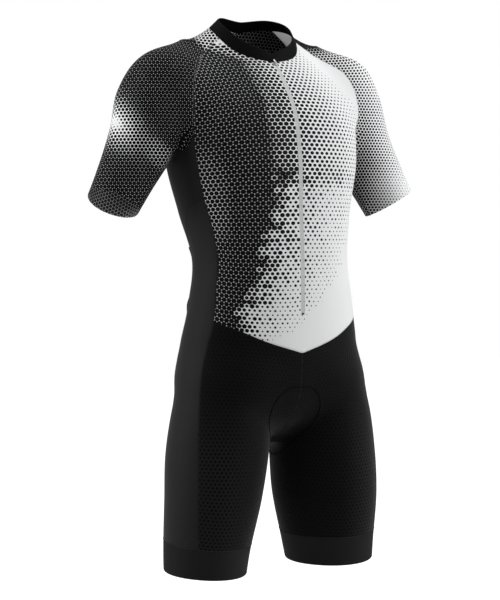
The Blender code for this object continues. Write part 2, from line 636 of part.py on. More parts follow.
def side_panels(s, suffix, turn):
    """The panels that each side has one of. turn brings the right side's points to this side."""
    raglan_front = turn(joined(s["raglan_front"], s["armhole_front"], s["underarm"]))
    raglan_back = turn(joined(s["raglan_back"], s["armhole_back"], s["underarm"]))
    rows = len(raglan_front) - 1
    places = np.linspace(0, SLEEVE_TOP_STEPS, SLEEVE_ACROSS + 1)
    top, cuff = through(s["neck_sleeve"], places), s["cuff"]
    quarter = SLEEVE_ACROSS // 4
    guides = []
    for i, line in enumerate((SLEEVE_FRONT, SLEEVE_CROWN, SLEEVE_BACK), 1):
        (guide,) = seam([top[i * quarter], *line, cuff[i * quarter]], rows, len(line) + 1)
        guides.append(turn(guide))
    panel(f"sleeve_{suffix}", patch(turn(top), turn(cuff), raglan_front, raglan_back, guides), "printed_knit",
          ("top", "left", "right"))

    front = patch(
        turn(s["neck_front"]), turn(s["waist_front"]), turn(s["zip"]),
        turn(joined(s["raglan_front"], s["side_front_upper"], s["side_front_middle"])),
    )
    panel(f"front_{suffix}", front, "printed_knit")

    armhole = joined(s["armhole_front"], s["armhole_back"][::-1])
    panel(f"side_upper_{suffix}", patch(
        turn(armhole), turn(s["arc"]), turn(s["side_front_upper"]), turn(s["side_back_upper"])
    ), "black_knit")
    panel(f"side_lower_{suffix}", patch(
        turn(s["arc"]), turn(s["band_side"][::-1]),
        turn(joined(s["side_front_middle"], s["side_front_lower"])),
        turn(joined(s["side_back_middle"], s["side_back_lower"])),
    ), "black_knit")

    panel(f"shorts_front_{suffix}", patch(
        turn(s["waist_front"]), turn(s["band_front"][::-1]),
        turn(joined(s["centre_front"], s["inseam"])), turn(s["side_front_lower"]),
    ), "dimpled_knit")
    panel(f"shorts_back_{suffix}", patch(
        turn(s["waist_back"][::-1]), turn(s["band_back"]),
        turn(joined(s["centre_back"], s["inseam"])), turn(s["side_back_lower"]),
    ), "dimpled_knit")

    upper = joined(s["band_front"], s["band_back"], s["band_side"])[:-1]
    angles = (
        (SIDE_FRONT_ANGLE, INSEAM_ANGLE, FRONT_ACROSS),
        (INSEAM_ANGLE - 360.0, SIDE_BACK_ANGLE, BACK_ACROSS // 2),
        (SIDE_BACK_ANGLE, SIDE_FRONT_ANGLE, 2 * ARMHOLE_STEPS),
    )
    lower = joined(*(leg_ring("hem", *part) for part in angles))[:-1]
    leg_band(f"leg_band_{suffix}", turn(upper), turn(lower))


def leg_band(name, upper, lower):
    """The plain band round the end of a leg."""
    share = np.linspace(0, 1, BAND_STEPS + 1)[:, None, None]
    grid = (1 - share) * upper + share * lower
    grid[1:-1] = settled(grid[1:-1])
    normals = normals_at(grid)
    down = grid[1] - grid[0]
    grid[0] += SEAM_GAP * down / np.linalg.norm(down, axis=1, keepdims=True)
    wall_object(name, grid, grid - normals * WALL, "black_knit", closed=True)


def back_panel(s):
    """The back, in one piece, and the pocket laid on its lower part."""
    right = joined(s["raglan_back"], s["side_back_upper"], s["side_back_middle"])
    neck = neck_edge(-RAGLAN_BACK_ANGLE, -360.0 + RAGLAN_BACK_ANGLE, BACK_ACROSS)
    half = BACK_ACROSS // 2
    neck[half:] = mirrored(neck[half::-1])
    neck[half, 0] = 0.0
    waist = joined(s["waist_back"], mirrored(s["waist_back"][::-1]))
    grid = patch(neck, waist, right, mirrored(right))
    panel("back", grid, "printed_knit")
    pocket(grid)


def pocket(grid):
    """A patch pocket from the back's own points, moved out. It stands off at its mouth and at its foot."""
    first = int(np.argmin(np.abs(grid[:, BACK_ACROSS // 2, 2] - POCKET_TOP_HEIGHT)))
    part = grid[first:].copy()
    normals = normals_at(part)
    rows = len(part)
    stand_off = np.full(rows, SEAM_GAP)
    stand_off[0] = POCKET_MOUTH_GAP
    stand_off[-2] = POCKET_FOOT_GAP
    outer = inset_edges(part, normals, ("left", "right", "bottom"), SEAM_GAP)
    inner = outer + normals * stand_off[:, None, None]
    wall_object("back_pocket", inner + normals * WALL, inner, "black_knit")


def collar():
    """The band round the neck, standing on the panels' upper edges."""
    half = BACK_ACROSS // 2
    parts = (
        np.linspace(0.0, RAGLAN_FRONT_ANGLE, FRONT_ACROSS + 1)[1:],
        np.linspace(RAGLAN_FRONT_ANGLE, RAGLAN_BACK_ANGLE, SLEEVE_TOP_STEPS + 1)[1:],
        np.linspace(RAGLAN_BACK_ANGLE, 180.0, half + 1)[1:-1],
    )
    side = np.concatenate(parts)
    angles = np.concatenate(([0.0], side, [180.0], -side[::-1]))
    lower = settled(collar_ring(angles, COLLAR_LOWER, COLLAR[:, 1]))
    upper = collar_ring(angles, COLLAR_UPPER, COLLAR[:, 2])
    rise = upper - lower
    height = np.linalg.norm(rise, axis=1, keepdims=True)
    share = np.linspace(0, 1, COLLAR_STEPS + 1)[:, None, None]
    grid = lower + rise * (SEAM_GAP / height + (1 - SEAM_GAP / height) * share)
    around = np.roll(lower, -1, 0) - np.roll(lower, 1, 0)
    outward = np.cross(around, rise)
    outward /= np.linalg.norm(outward, axis=1, keepdims=True)
    facing = np.stack([normals_at(lower)] + [outward] * COLLAR_STEPS)
    wall_object("collar", grid, grid - facing * COLLAR_WALL, "collar_knit", closed=True)


def zip_strip(s):
    """The closed zip's strip between the two fronts, in one piece with its tapes."""
    edge = s["zip"][: -4]
    middle = edge * (0.0, 1.0, 1.0)
    grid = np.stack([edge, middle, mirrored(edge)], 1)
    panel("zip_strip", grid, "zip_tape", ("top", "left", "right"))


def prism(name, outline, low, high, frame, material):
    """A plate with that outline, between two heights. frame is its origin and its x, y and z directions."""
    origin, x_way, y_way, z_way = frame
    outline = np.array(outline)
    flat = outline[:, :1] * x_way + outline[:, 1:] * y_way
    points = np.concatenate([origin + flat + z_way * height for height in (low, high)])
    count = len(outline)
    faces = [tuple(range(count)), tuple(range(2 * count - 1, count - 1, -1))]
    for i in range(count):
        j = (i + 1) % count
        faces.append((i, i + count, j + count, j))
    return new_object(name, points, faces, material)


def box_outline(low_x, high_x, low_y, high_y, corner=0.0):
    """A rectangle with its corners cut off."""
    return (
        (low_x + corner, low_y), (high_x - corner, low_y), (high_x, low_y + corner), (high_x, high_y - corner),
        (high_x - corner, high_y), (low_x + corner, high_y), (low_x, high_y - corner), (low_x, low_y + corner),
    )


def combined(target, helper, operation):
    """Joins a helper to a part, or cuts it away."""
    helper.hide_render = True
    helper.display_type = "WIRE"
    modifier = target.modifiers.new(operation.lower(), "BOOLEAN")
    modifier.operation = operation
    modifier.solver = "EXACT"
    modifier.object = helper


def zip_parts(s):
    """The slider with its bridge, the pull tab hung under the bridge, and the stop at the zip's lower end."""
    line = s["zip"] * (0.0, 1.0, 1.0)
    across = np.array((1.0, 0.0, 0.0))
    up = (line[0] - line[1]) / np.linalg.norm(line[0] - line[1])
    outward = np.cross(across, up)
    middle = line[0] - up * SLIDER_DROP
    half, length = SLIDER_WIDTH / 2, SLIDER_LENGTH / 2
    body = prism(
        "zip_slider",
        ((-half * 0.7, -length), (half * 0.7, -length), (half, -length * 0.2), (half, length * 0.7),
         (half * 0.75, length), (-half * 0.75, length), (-half, length * 0.7), (-half, -length * 0.2)),
        SEAM_GAP, SLIDER_TOP, (middle, across, up, outward), "zip_metal",
    )
    reach, rise, bar = BRIDGE_REACH, BRIDGE_TOP, BRIDGE_BAR
    arch = (
        (-reach, SLIDER_TOP / 2), (-reach + bar, SLIDER_TOP / 2), (-reach + bar, rise - bar), (reach - bar, rise - bar),
        (reach - bar, SLIDER_TOP / 2), (reach, SLIDER_TOP / 2), (reach, rise - bar / 2), (reach - bar / 2, rise),
        (-reach + bar / 2, rise), (-reach, rise - bar / 2),
    )
    bridge = prism("slider_bridge", arch, -BRIDGE_WIDTH / 2, BRIDGE_WIDTH / 2, (middle, up, outward, across), "zip_metal")
    combined(body, bridge, "UNION")

    hinge = middle + outward * HINGE_HEIGHT
    along = np.array((0.0, np.sin(PULL_LEAN), np.cos(PULL_LEAN)))
    frame = (np.zeros(3), across, along, np.cross(across, along))
    thick = PULL_THICKNESS / 2
    ring, tab = PULL_RING_WIDTH / 2, PULL_TAB_WIDTH / 2
    pull = prism(
        "zip_pull",
        ((-ring, -thick), (ring, -thick), (ring, PULL_RING_END), (tab, PULL_RING_END + ring - tab),
         (tab, PULL_LENGTH - tab / 2), (tab / 2, PULL_LENGTH), (-tab / 2, PULL_LENGTH), (-tab, PULL_LENGTH - tab / 2),
         (-tab, PULL_RING_END + ring - tab), (-ring, PULL_RING_END)),
        -thick, thick, frame, "zip_metal",
    )
    window = prism(
        "pull_window", box_outline(-PULL_WINDOW_WIDTH / 2, PULL_WINDOW_WIDTH / 2, thick, PULL_WINDOW_END),
        -2 * thick, 2 * thick, frame, "zip_metal",
    )
    combined(pull, window, "DIFFERENCE")
    for piece in (pull, window):
        piece.location = hinge

    last = s["zip"][:-3] * (0.0, 1.0, 1.0)
    up = (last[-2] - last[-1]) / np.linalg.norm(last[-2] - last[-1])
    prism(
        "zip_stop", box_outline(-STOP_WIDTH / 2, STOP_WIDTH / 2, 0.0, STOP_LENGTH, STOP_LENGTH / 5),
        SEAM_GAP, STOP_HEIGHT, (last[-1], across, up, np.cross(across, up)), "zip_plastic",
    )


def seat_pad():
    """The seat pad under the crotch seams, inside the shorts."""
    rows, columns = PAD_STEPS
    share = (1 - np.cos(np.linspace(0, np.pi, rows + 1))) / 2
    line = resampled(settled(smooth_line(PAD_LINE)), 200)
    middle = settled(through(line, share * 200))
    half = np.maximum(column(share, PAD_SHAPE[:, 0], PAD_SHAPE[:, 1]), 0.006)
    grid = np.zeros((rows + 1, columns + 1, 3))
    grid[:, columns // 2] = middle
    stride = half / (columns // 2)
    for way in (-1, 1):
        for k in range(columns // 2):
            here = grid[:, columns // 2 + way * k]
            normal = normals_at(here)
            along = np.gradient(here, axis=0)
            sideways = np.cross(normal, along)
            sideways *= way * np.sign(sideways[:, :1]) / np.linalg.norm(sideways, axis=1, keepdims=True)
            grid[:, columns // 2 + way * (k + 1)] = settled(here + sideways * stride[:, None])
    normals = normals_at(grid)
    outer = grid - normals * (WALL + PAD_CLEARANCE)
    wall_object("seat_pad", outer, outer - normals * PAD_THICKNESS, "pad_foam")


# ---------------------------------------------------------------- start
for old in list(bpy.data.objects):
    bpy.data.objects.remove(old, do_unlink=True)

materials = {}
for material_name, (colour, roughness, metallic) in MATERIALS.items():
    material = bpy.data.materials.new(material_name)
    material.use_nodes = True
    shader = material.node_tree.nodes["Principled BSDF"]
    shader.inputs["Base Color"].default_value = (*colour, 1.0)
    shader.inputs["Roughness"].default_value = roughness
    shader.inputs["Metallic"].default_value = metallic
    material.diffuse_color = (*colour, 1.0)
    materials[material_name] = material

seams = right_seams()
side_panels(seams, "right", np.array)
side_panels(seams, "left", mirrored)
back_panel(seams)
collar()
zip_strip(seams)
zip_parts(seams)
seat_pad()
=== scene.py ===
"""Looks of a short-sleeved triathlon suit, filled out as on a wearer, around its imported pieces.

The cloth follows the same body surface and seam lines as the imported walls, on a finer grid. The top is
printed with a halftone of black dots, worked out in the material from each dot's own place.
Metres, +Z up, the wearer faces -Y.
"""

import bpy
import numpy as np
from mathutils import Matrix, Vector


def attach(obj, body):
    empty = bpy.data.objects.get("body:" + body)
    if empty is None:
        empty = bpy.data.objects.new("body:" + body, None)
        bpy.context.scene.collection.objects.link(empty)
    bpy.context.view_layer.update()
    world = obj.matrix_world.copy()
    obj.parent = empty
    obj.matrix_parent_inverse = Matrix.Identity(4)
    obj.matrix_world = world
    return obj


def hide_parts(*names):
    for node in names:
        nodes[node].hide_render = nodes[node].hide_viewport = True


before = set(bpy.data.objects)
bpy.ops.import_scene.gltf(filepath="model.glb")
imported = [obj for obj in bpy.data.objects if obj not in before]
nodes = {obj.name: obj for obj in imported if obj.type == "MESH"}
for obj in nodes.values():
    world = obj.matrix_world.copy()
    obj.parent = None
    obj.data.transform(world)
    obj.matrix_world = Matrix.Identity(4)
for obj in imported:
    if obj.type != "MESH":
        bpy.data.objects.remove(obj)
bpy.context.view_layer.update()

# ---------------------------------------------------------------- driving dimensions
CLOTH = 0.0010  # thickness of the knit
BAND_CLOTH = 0.0016
COLLAR_CLOTH = 0.0018
POCKET_CLOTH = 0.0012
TAPE_CLOTH = 0.0007
# The zip tape's lines of points from its middle, and their depths under the body's surface
TAPE_PLACES = np.array((0.0, 0.0012, 0.0022, 0.0025, 0.0060, 0.0090, 0.0120))
TAPE_SINKS = np.array((0.0002, 0.0002, 0.0002, 0.0013, 0.0013, 0.0013, 0.0013))
SEAM_GAP = 0.0001
SEAM_DIP = 0.00035  # of the cloth towards a seam
LIP = np.array((0.0, 0.0003, 0.0008, 0.0016))  # places of the lines of points next to an edge
BAND_LIPS = np.array((0.006, 0.015, 0.030))
FINE = 0.0050  # spacing of the fine grids
CLOTH_GLOSS = 0.10  # specular level of the knits
SHEEN_ROUGHNESS = 0.4
LIGHT_DEPTH = 0.003  # that light goes into cloth it shines through
HARD_GLOSS = 0.5
DOT_SPREAD = (937.0, 871.0, 1.0)  # sets neighbouring dots far apart in the noise
ROW_SPREAD = 1310.0
DOT_EDGE = 0.02  # half the width of a printed dot's soft edge, in pitches
EDGE_ROUND = 0.4  # share of its thickness by which cloth is rounded off at an open edge
WALL = 0.0016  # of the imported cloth
ZIP_WIDTH = 0.0051
ZIP_END_HEIGHT = -0.473
ZIP_CLOSE = 0.003
SLIDER_DROP = 0.0052
TEETH_ASIDE = 0.0006  # from the middle of the zip
TEETH_PROUD = 0.0001
STITCH_OFFSET = 0.0018  # of each row of thread from its seam
# Rows of small pieces: length and thickness of one, and the pitch between them
TEETH = (0.0023, 0.0009, 0.0014)
STITCHES = (0.0022, 0.0005, 0.0028)
COVER = (0.0030, 0.0013, 0.0021)  # covers a seam in one close row
PAD_ROW = (0.0036, 0.0028, 0.0022)  # holds the pad
HEM_ROW_SHARE = 0.14  # of the way from a leg band's free end to its seam
PAD_CLEARANCE = 0.0047
PAD_THICKNESS = 0.005
PAD_EDGE = 0.009  # width of the pad's rounded edge
PAD_LEAST = 0.25  # thickness at its very edge, as a share
PAD_LENGTH = 0.35
PAD_GROOVE = (0.018, 0.0022, 0.0018)  # distance from the middle, half width, depth
LEG_ROUND = 0.55  # largest length round a leg ring
POCKET_TOP_HEIGHT = -0.365
POCKET_MOUTH_GAP = 0.0035
POCKET_FOOT_GAP = 0.0060
SHOULDER_BLEND = 0.055
ARMPIT_BLEND = 0.006
ARMPIT_RANGE = (-0.11, -0.18)  # heights between which the fillet goes from shoulder to armpit
LEG_BLEND = 0.035
NECK_BLEND = 0.030

# Trunk: horizontal sections, from the neck down to the crotch.
# height, half width, front depth, back depth, middle's y, squareness
TRUNK = np.array((
    (0.060, 0.020, 0.020, 0.020, 0.010, 2.0),
    (0.000, 0.113, 0.0465, 0.050, 0.005, 2.0),
    (-0.060, 0.155, 0.081, 0.091, -0.020, 2.1),
    (-0.120, 0.175, 0.110, 0.112, -0.033, 2.3),
    (-0.200, 0.178, 0.127, 0.114, -0.035, 2.4),
    (-0.300, 0.159, 0.120, 0.107, -0.046, 2.3),
    (-0.385, 0.146, 0.105, 0.096, -0.066, 2.2),
    (-0.470, 0.157, 0.104, 0.099, -0.068, 2.2),
    (-0.560, 0.167, 0.107, 0.112, -0.063, 2.2),
    (-0.615, 0.148, 0.095, 0.116, -0.068, 2.2),
    (-0.660, 0.088, 0.067, 0.093, -0.068, 2.0),
    (-0.698, 0.020, 0.020, 0.040, -0.060, 2.0),
))
# Right leg: horizontal sections.
# height, middle's x, middle's y, half of the short side, half of the long side
LEG = np.array((
    (-0.490, -0.070, -0.066, 0.0200, 0.0200),
    (-0.560, -0.085, -0.070, 0.0805, 0.0780),
    (-0.640, -0.100, -0.068, 0.0865, 0.0920),
    (-0.720, -0.110, -0.068, 0.0900, 0.0955),
    (-0.800, -0.117, -0.066, 0.0850, 0.0955),
    (-0.900, -0.128, -0.061, 0.0750, 0.0830),
    (-1.000, -0.135, -0.064, 0.0670, 0.0700),
))
LEG_TURN = np.radians(40.0)  # of the short side, from across the body towards the front
LEG_SQUARENESS = 2.1
# Right arm: sections across the line from shoulder to hand. distance along it, half of the short side,
# half of the long side
SHOULDER = np.array((-0.179, -0.007, -0.095))
HAND = np.array((-0.305, -0.026, -0.312))
ARM = np.array((
    (-0.10, 0.0120, 0.0150),
    (-0.04, 0.0630, 0.0710),
    (0.03, 0.0760, 0.0745),
    (0.10, 0.0600, 0.0590),
    (0.20, 0.0470, 0.0500),
    (0.32, 0.0420, 0.0450),
))
ARM_TURN = np.radians(-35.0)  # of the short side, from across the arm towards the front
ARM_SQUARENESS = 2.1
# Neck: sections across its leaning axis. distance along it, half width, front depth, back depth
NECK_FOOT = np.array((0.0, -0.010, -0.001))
NECK_LEAN = np.radians(20.0)
NECK = np.array((
    (-0.10, 0.079, 0.060, 0.040),
    (-0.02, 0.090, 0.046, 0.040),
    (0.03, 0.057, 0.051, 0.062),
    (0.10, 0.058, 0.048, 0.045),
))
# Collar rings, by the angle from the centre front: angle, height of the lower edge, height of the upper edge
COLLAR = np.array((
    (0.0, -0.0410, -0.0220),
    (45.0, -0.0240, -0.0010),
    (90.0, 0.0155, 0.0310),
    (135.0, 0.0305, 0.0450),
    (180.0, 0.0225, 0.0410),
))
# Places of the collar's rows of points, from its lower edge to its upper one
COLLAR_ROWS = np.array((0.0, 0.02, 0.05, 0.12, 0.25, 0.4, 0.55, 0.7, 0.82, 0.9, 0.94, 0.97, 0.99, 1.0))
# half width, front depth, back depth, middle's y
COLLAR_LOWER = (0.0830, 0.0675, 0.0615, -0.0095)
COLLAR_UPPER = (0.0702, 0.0572, 0.0490, -0.0160)

# Where the raglan seams of the right side leave the collar, as angles from the centre front.
RAGLAN_FRONT_ANGLE = 75.0
RAGLAN_BACK_ANGLE = 128.0
# Where the seams of the right leg meet its rings, as angles from +X, seen from above.
INSEAM_ANGLE = 38.0
SIDE_FRONT_ANGLE = -131.0
SIDE_BACK_ANGLE = -232.0
# Leg rings: height at the leg's middle, rise per metre outwards, rise per metre backwards
LEG_RINGS = {"band": (-0.8735, 0.05, 0.06), "hem": (-0.9265, 0.04, 0.05)}
CUFF_DISTANCE = 0.221
CUFF_NORMAL = np.array((-0.46, -0.20, -0.865))
UNDERARM_ANGLE = 0.0

# Seam lines of the right side: x, y, z of the points they pass, before they settle on the body.
RAGLAN_FRONT = (
    (-0.093, -0.029, -0.004),
    (-0.127, -0.050, -0.025),
    (-0.154, -0.074, -0.051),
    (-0.166, -0.087, -0.080),
    (-0.171, -0.095, -0.120),
)
ARMHOLE_FRONT_TOP = (-0.172, -0.093, -0.154)
ARMHOLE_FRONT = ((-0.175, -0.083, -0.182), (-0.187, -0.064, -0.200))
UNDERARM = (-0.196, -0.030, -0.204)
RAGLAN_BACK = (
    (-0.098, 0.030, 0.000),
    (-0.130, 0.042, -0.034),
    (-0.152, 0.052, -0.074),
    (-0.163, 0.052, -0.115),
)
ARMHOLE_BACK_TOP = (-0.170, 0.042, -0.155)
ARMHOLE_BACK = ((-0.176, 0.025, -0.184), (-0.184, 0.005, -0.200))
SIDE_FRONT_UPPER = ((-0.166, -0.091, -0.190), (-0.162, -0.095, -0.230))
ARC_FRONT = (-0.153, -0.097, -0.276)
SIDE_FRONT_MIDDLE = ((-0.141, -0.105, -0.325), (-0.134, -0.112, -0.385), (-0.139, -0.114, -0.431))
WAIST_FRONT_SIDE = (-0.145, -0.116, -0.487)
SIDE_FRONT_LOWER = (
    (-0.161, -0.111, -0.547),
    (-0.171, -0.115, -0.605),
    (-0.179, -0.124, -0.676),
    (-0.183, -0.130, -0.773),
)
SIDE_BACK_UPPER = ((-0.168, 0.036, -0.220), (-0.152, 0.030, -0.290), (-0.137, 0.010, -0.350))
ARC_BACK = (-0.134, 0.000, -0.405)
SIDE_BACK_MIDDLE = ((-0.136, 0.004, -0.450),)
WAIST_BACK_SIDE = (-0.142, 0.008, -0.490)
SIDE_BACK_LOWER = (
    (-0.156, 0.014, -0.560),
    (-0.166, 0.010, -0.630),
    (-0.168, 0.004, -0.700),
    (-0.170, 0.002, -0.790),
)
SIDE_ARC = (
    (-0.158, -0.078, -0.281),
    (-0.160, -0.060, -0.290),
    (-0.158, -0.045, -0.306),
    (-0.153, -0.036, -0.330),
    (-0.144, -0.020, -0.370),
)
WAIST_FRONT = ((-0.112, -0.147, -0.502), (-0.072, -0.163, -0.520))
WAIST_POINT = (0.0, -0.170, -0.543)
WAIST_BACK = ((-0.105, 0.030, -0.487), (-0.055, 0.040, -0.484))
WAIST_BACK_MIDDLE = (0.0, 0.042, -0.482)
CENTRE_FRONT = ((0.0, -0.169, -0.584), (0.0, -0.163, -0.622), (0.0, -0.148, -0.658), (0.0, -0.115, -0.690))
CROTCH = (0.0, -0.045, -0.705)
CENTRE_BACK = ((0.0, 0.050, -0.540), (0.0, 0.052, -0.600), (0.0, 0.040, -0.650), (0.0, 0.005, -0.690))
INSEAM = ((-0.014, -0.038, -0.720), (-0.030, -0.026, -0.755), (-0.044, -0.014, -0.810))
# Lines down the sleeve that keep its wall round: along its front, its outer side and its back.
SLEEVE_FRONT = (
    (-0.120, -0.030, -0.010),
    (-0.160, -0.050, -0.035),
    (-0.195, -0.072, -0.080),
    (-0.215, -0.083, -0.140),
    (-0.250, -0.085, -0.205),
)
SLEEVE_CROWN = (
    (-0.130, 0.000, -0.005),
    (-0.175, 0.000, -0.030),
    (-0.225, -0.005, -0.075),
    (-0.262, -0.012, -0.140),
    (-0.300, -0.020, -0.210),
)
SLEEVE_BACK = (
    (-0.115, 0.025, -0.005),
    (-0.155, 0.045, -0.035),
    (-0.195, 0.060, -0.080),
    (-0.220, 0.055, -0.140),
    (-0.255, 0.040, -0.205),
)
# Seat pad, by its share of the way from front to back: share, half width
PAD_SHAPE = np.array((
    (0.00, 0.0000),
    (0.03, 0.0300),
    (0.07, 0.0440),
    (0.15, 0.0555),
    (0.21, 0.0540),
    (0.30, 0.0390),
    (0.42, 0.0290),
    (0.55, 0.0390),
    (0.70, 0.0560),
    (0.85, 0.0600),
    (0.96, 0.0420),
    (1.00, 0.0000),
))
PAD_LINE = (
    (0.0, -0.169, -0.602),
    (0.0, -0.152, -0.652),
    (0.0, -0.115, -0.690),
    (0.0, -0.064, -0.712),
    (0.0, -0.005, -0.695),
    (0.0, 0.030, -0.665),
    (0.0, 0.048, -0.620),
)

# How many stretches each seam is divided into, the same for the two panels that it joins.
RAGLAN_STEPS = 9
ARMHOLE_STEPS = 3
UNDERARM_STEPS = 4
SIDE_UPPER_STEPS = 6
SIDE_FRONT_MIDDLE_STEPS = 5
SIDE_FRONT_LOWER_STEPS = 14
SIDE_BACK_MIDDLE_STEPS = 3
SIDE_BACK_LOWER_STEPS = 16
FRONT_ACROSS = 7
HALF_BACK_ACROSS = 6
SLEEVE_ACROSS = 16
SLEEVE_TOP_STEPS = 4
CLOSED_STEPS = 3  # of the fronts' edge under the zip
CENTRE_FRONT_STEPS = 9
CENTRE_BACK_STEPS = 11
INSEAM_STEPS = 5

# Print of the front, by height: height, sideways stretch at the right side, at the middle and at the left
# side, and how much its rows rise towards the middle on the right
PRINT_STRETCH = np.array((
    (-0.05, 1.40, 1.39, 1.48, 0.24),
    (-0.12, 1.18, 1.42, 1.43, 0.16),
    (-0.20, 1.18, 1.40, 1.41, 0.11),
    (-0.28, 1.15, 1.30, 1.41, 0.06),
    (-0.36, 1.10, 1.23, 1.38, 0.00),
    (-0.45, 1.05, 1.14, 1.30, -0.13),
))
TAPED_EDGE = 0.0038  # from the middle of the front
TAPED_TONE = 0.57
# Painted light on the shorts: a lighter ground towards the thighs' outer sides, standing in for the side
# lamps' light on them.
PAINTED_SIDE_LIGHT_TONE = 0.0120
PAINTED_SIDE_LIGHT_REACH = (0.09, 0.15)  # distances from the middle over which the shorts turn to that tone
PAINTED_SIDE_LIGHT_HEIGHTS = (-0.60, -0.74)
PRINT_SIDE = 0.135  # distance from the middle at which the side columns hold
BACK_STRETCH = 1.15
PRINT_AWAY = 0.10  # facing at which the sleeves' print follows the cloth, and from which it is drawn level
PRINT_FACING = 0.65
PRINT_SEEN = 0.25  # facing from which a point counts when that print is put in its place
PRINT_LEAST = 0.22  # weight in laying out a print of a stretch that faces away
PRINT_CORNER = np.radians(32.0)  # of the front corner from which the sleeves' print is drawn level
SEEN_ACROSS = np.array((np.cos(PRINT_CORNER), -np.sin(PRINT_CORNER), 0.0))
SEEN_UP = np.array((0.0, 0.0, 1.0))
SEEN_ALONG = np.array((np.sin(PRINT_CORNER), np.cos(PRINT_CORNER), 0.0))
FRONT_PITCH = 0.00808  # between the middles of neighbouring dots
RIGHT_SLEEVE_PITCH = 0.00655
LEFT_SLEEVE_PITCH = 0.00580
DIMPLE_PITCH = 0.0074

# Edge of the merged dots on the front, in its print's own measure: up, across. The zip is at 0 across.
FRONT_EDGE = (
    (-0.520, -0.104), (-0.480, -0.097), (-0.460, -0.094), (-0.440, -0.078), (-0.415, -0.074),
    (-0.385, -0.059),
    (-0.355, -0.052), (-0.330, -0.050), (-0.303, -0.037), (-0.285, -0.033), (-0.264, -0.035),
    (-0.227, -0.029),
    (-0.194, -0.037), (-0.160, -0.037), (-0.125, -0.040), (-0.088, -0.040), (-0.067, -0.044),
    (-0.045, -0.048),
    (-0.020, -0.053), (0.010, -0.055), (0.060, -0.060),
)
# Distance over which the dots shrink to nothing: up, distance.
FRONT_FADE = (
    (-0.520, 0.050), (-0.497, 0.066), (-0.480, 0.094), (-0.461, 0.115), (-0.432, 0.126), (-0.390, 0.136),
    (-0.330, 0.154), (-0.260, 0.168), (-0.200, 0.180), (-0.150, 0.180), (-0.100, 0.168), (-0.060, 0.150),
    (0.000, 0.135), (0.060, 0.120),
)
# Radius of the dots, in pitches, by the share of that distance.
FRONT_TONE = (
    (-1.00, 0.504), (-0.08, 0.510), (-0.02, 0.515), (0.01, 0.485), (0.05, 0.470), (0.12, 0.455),
    (0.20, 0.425),
    (0.30, 0.378), (0.42, 0.335), (0.57, 0.292), (0.70, 0.245), (0.80, 0.205), (0.90, 0.165), (1.00, 0.110),
    (1.07, 0.000), (2.00, 0.000),
)
# The same on its lower part, where the dots are small nearly all the way.
LOW_TONE = (
    (-1.00, 0.600), (-0.02, 0.600), (0.01, 0.500), (0.08, 0.430), (0.18, 0.355), (0.30, 0.290), (0.45, 0.240),
    (0.60, 0.205), (0.75, 0.170), (0.90, 0.135), (1.00, 0.100), (1.04, 0.000), (2.00, 0.000),
)
RAGLAN_TOP = (-0.080, -0.027, 0.003)  # where the bare corner of the right front lies
BURST = (-0.2280, -0.1500)  # middle of the bare burst on the right sleeve
BURST_DRAWN = 0.55  # its width over its length, which runs down and towards the body
BURST_TONE = (
    (0.000, 0.06), (0.004, 0.12), (0.008, 0.24), (0.013, 0.34), (0.021, 0.405), (0.034, 0.470),
    (0.060, 0.518),
    (0.500, 0.530),
)
BAND_TONE = (
    (-0.700, 0.562), (-0.400, 0.560), (-0.352, 0.522), (-0.330, 0.475), (-0.315, 0.470), (-0.295, 0.500),
    (-0.270, 0.535), (0.200, 0.535),
)
# Largest radius of the front's dots, by the distance across.
FRONT_SIDE_TONE = (
    (-0.200, 0.465), (-0.135, 0.470), (-0.115, 0.478), (-0.095, 0.502), (-0.070, 0.600), (0.200, 0.600),
)
OUTER_TONE = (
    (-0.100, 0.50), (0.090, 0.46), (0.120, 0.43), (0.135, 0.41), (0.150, 0.37), (0.165, 0.32), (0.180, 0.27),
    (0.200, 0.22), (0.230, 0.20), (0.270, 0.35), (0.310, 0.46), (0.500, 0.50),
)


# ---------------------------------------------------------------- camera, light and floor
CAMERA_AZIMUTH = np.radians(-32.0)
CAMERA_ELEVATION = np.radians(3.1)
CAMERA_DISTANCE = 3.3
CAMERA_LENS = 109.92
LOOK_AT = np.array((0.0, 0.0, -0.459))
BACK = np.array((
    np.sin(CAMERA_AZIMUTH) * np.cos(CAMERA_ELEVATION),
    -np.cos(CAMERA_AZIMUTH) * np.cos(CAMERA_ELEVATION),
    np.sin(CAMERA_ELEVATION),
))
ACROSS = np.array((np.cos(CAMERA_AZIMUTH), np.sin(CAMERA_AZIMUTH), 0.0))
FLOOR_HEIGHT = -1.6
FLOOR_REACH = 9.0
ROOM_LIGHT = 0.25  # of the white room on the suit
# Softboxes: across, towards the camera and up from the middle of the suit, then width, height and power
LIGHTS = (
    (-2.2, 0.5, 0.8, 1.6, 2.4, 38.0),
    (2.2, 0.3, 0.8, 1.6, 2.4, 44.0),
    (0.0, 2.6, 1.8, 2.4, 1.6, 4.0),
    (0.0, -0.2, 2.3, 2.0, 1.6, 25.0),
)


def aimed(obj, place, target):
    """Puts an object at a place with its -Z towards the target."""
    turn = Vector(target - place).to_track_quat("-Z", "Y").to_matrix().to_4x4()
    obj.matrix_world = Matrix.Translation(place) @ turn
    bpy.context.scene.collection.objects.link(obj)


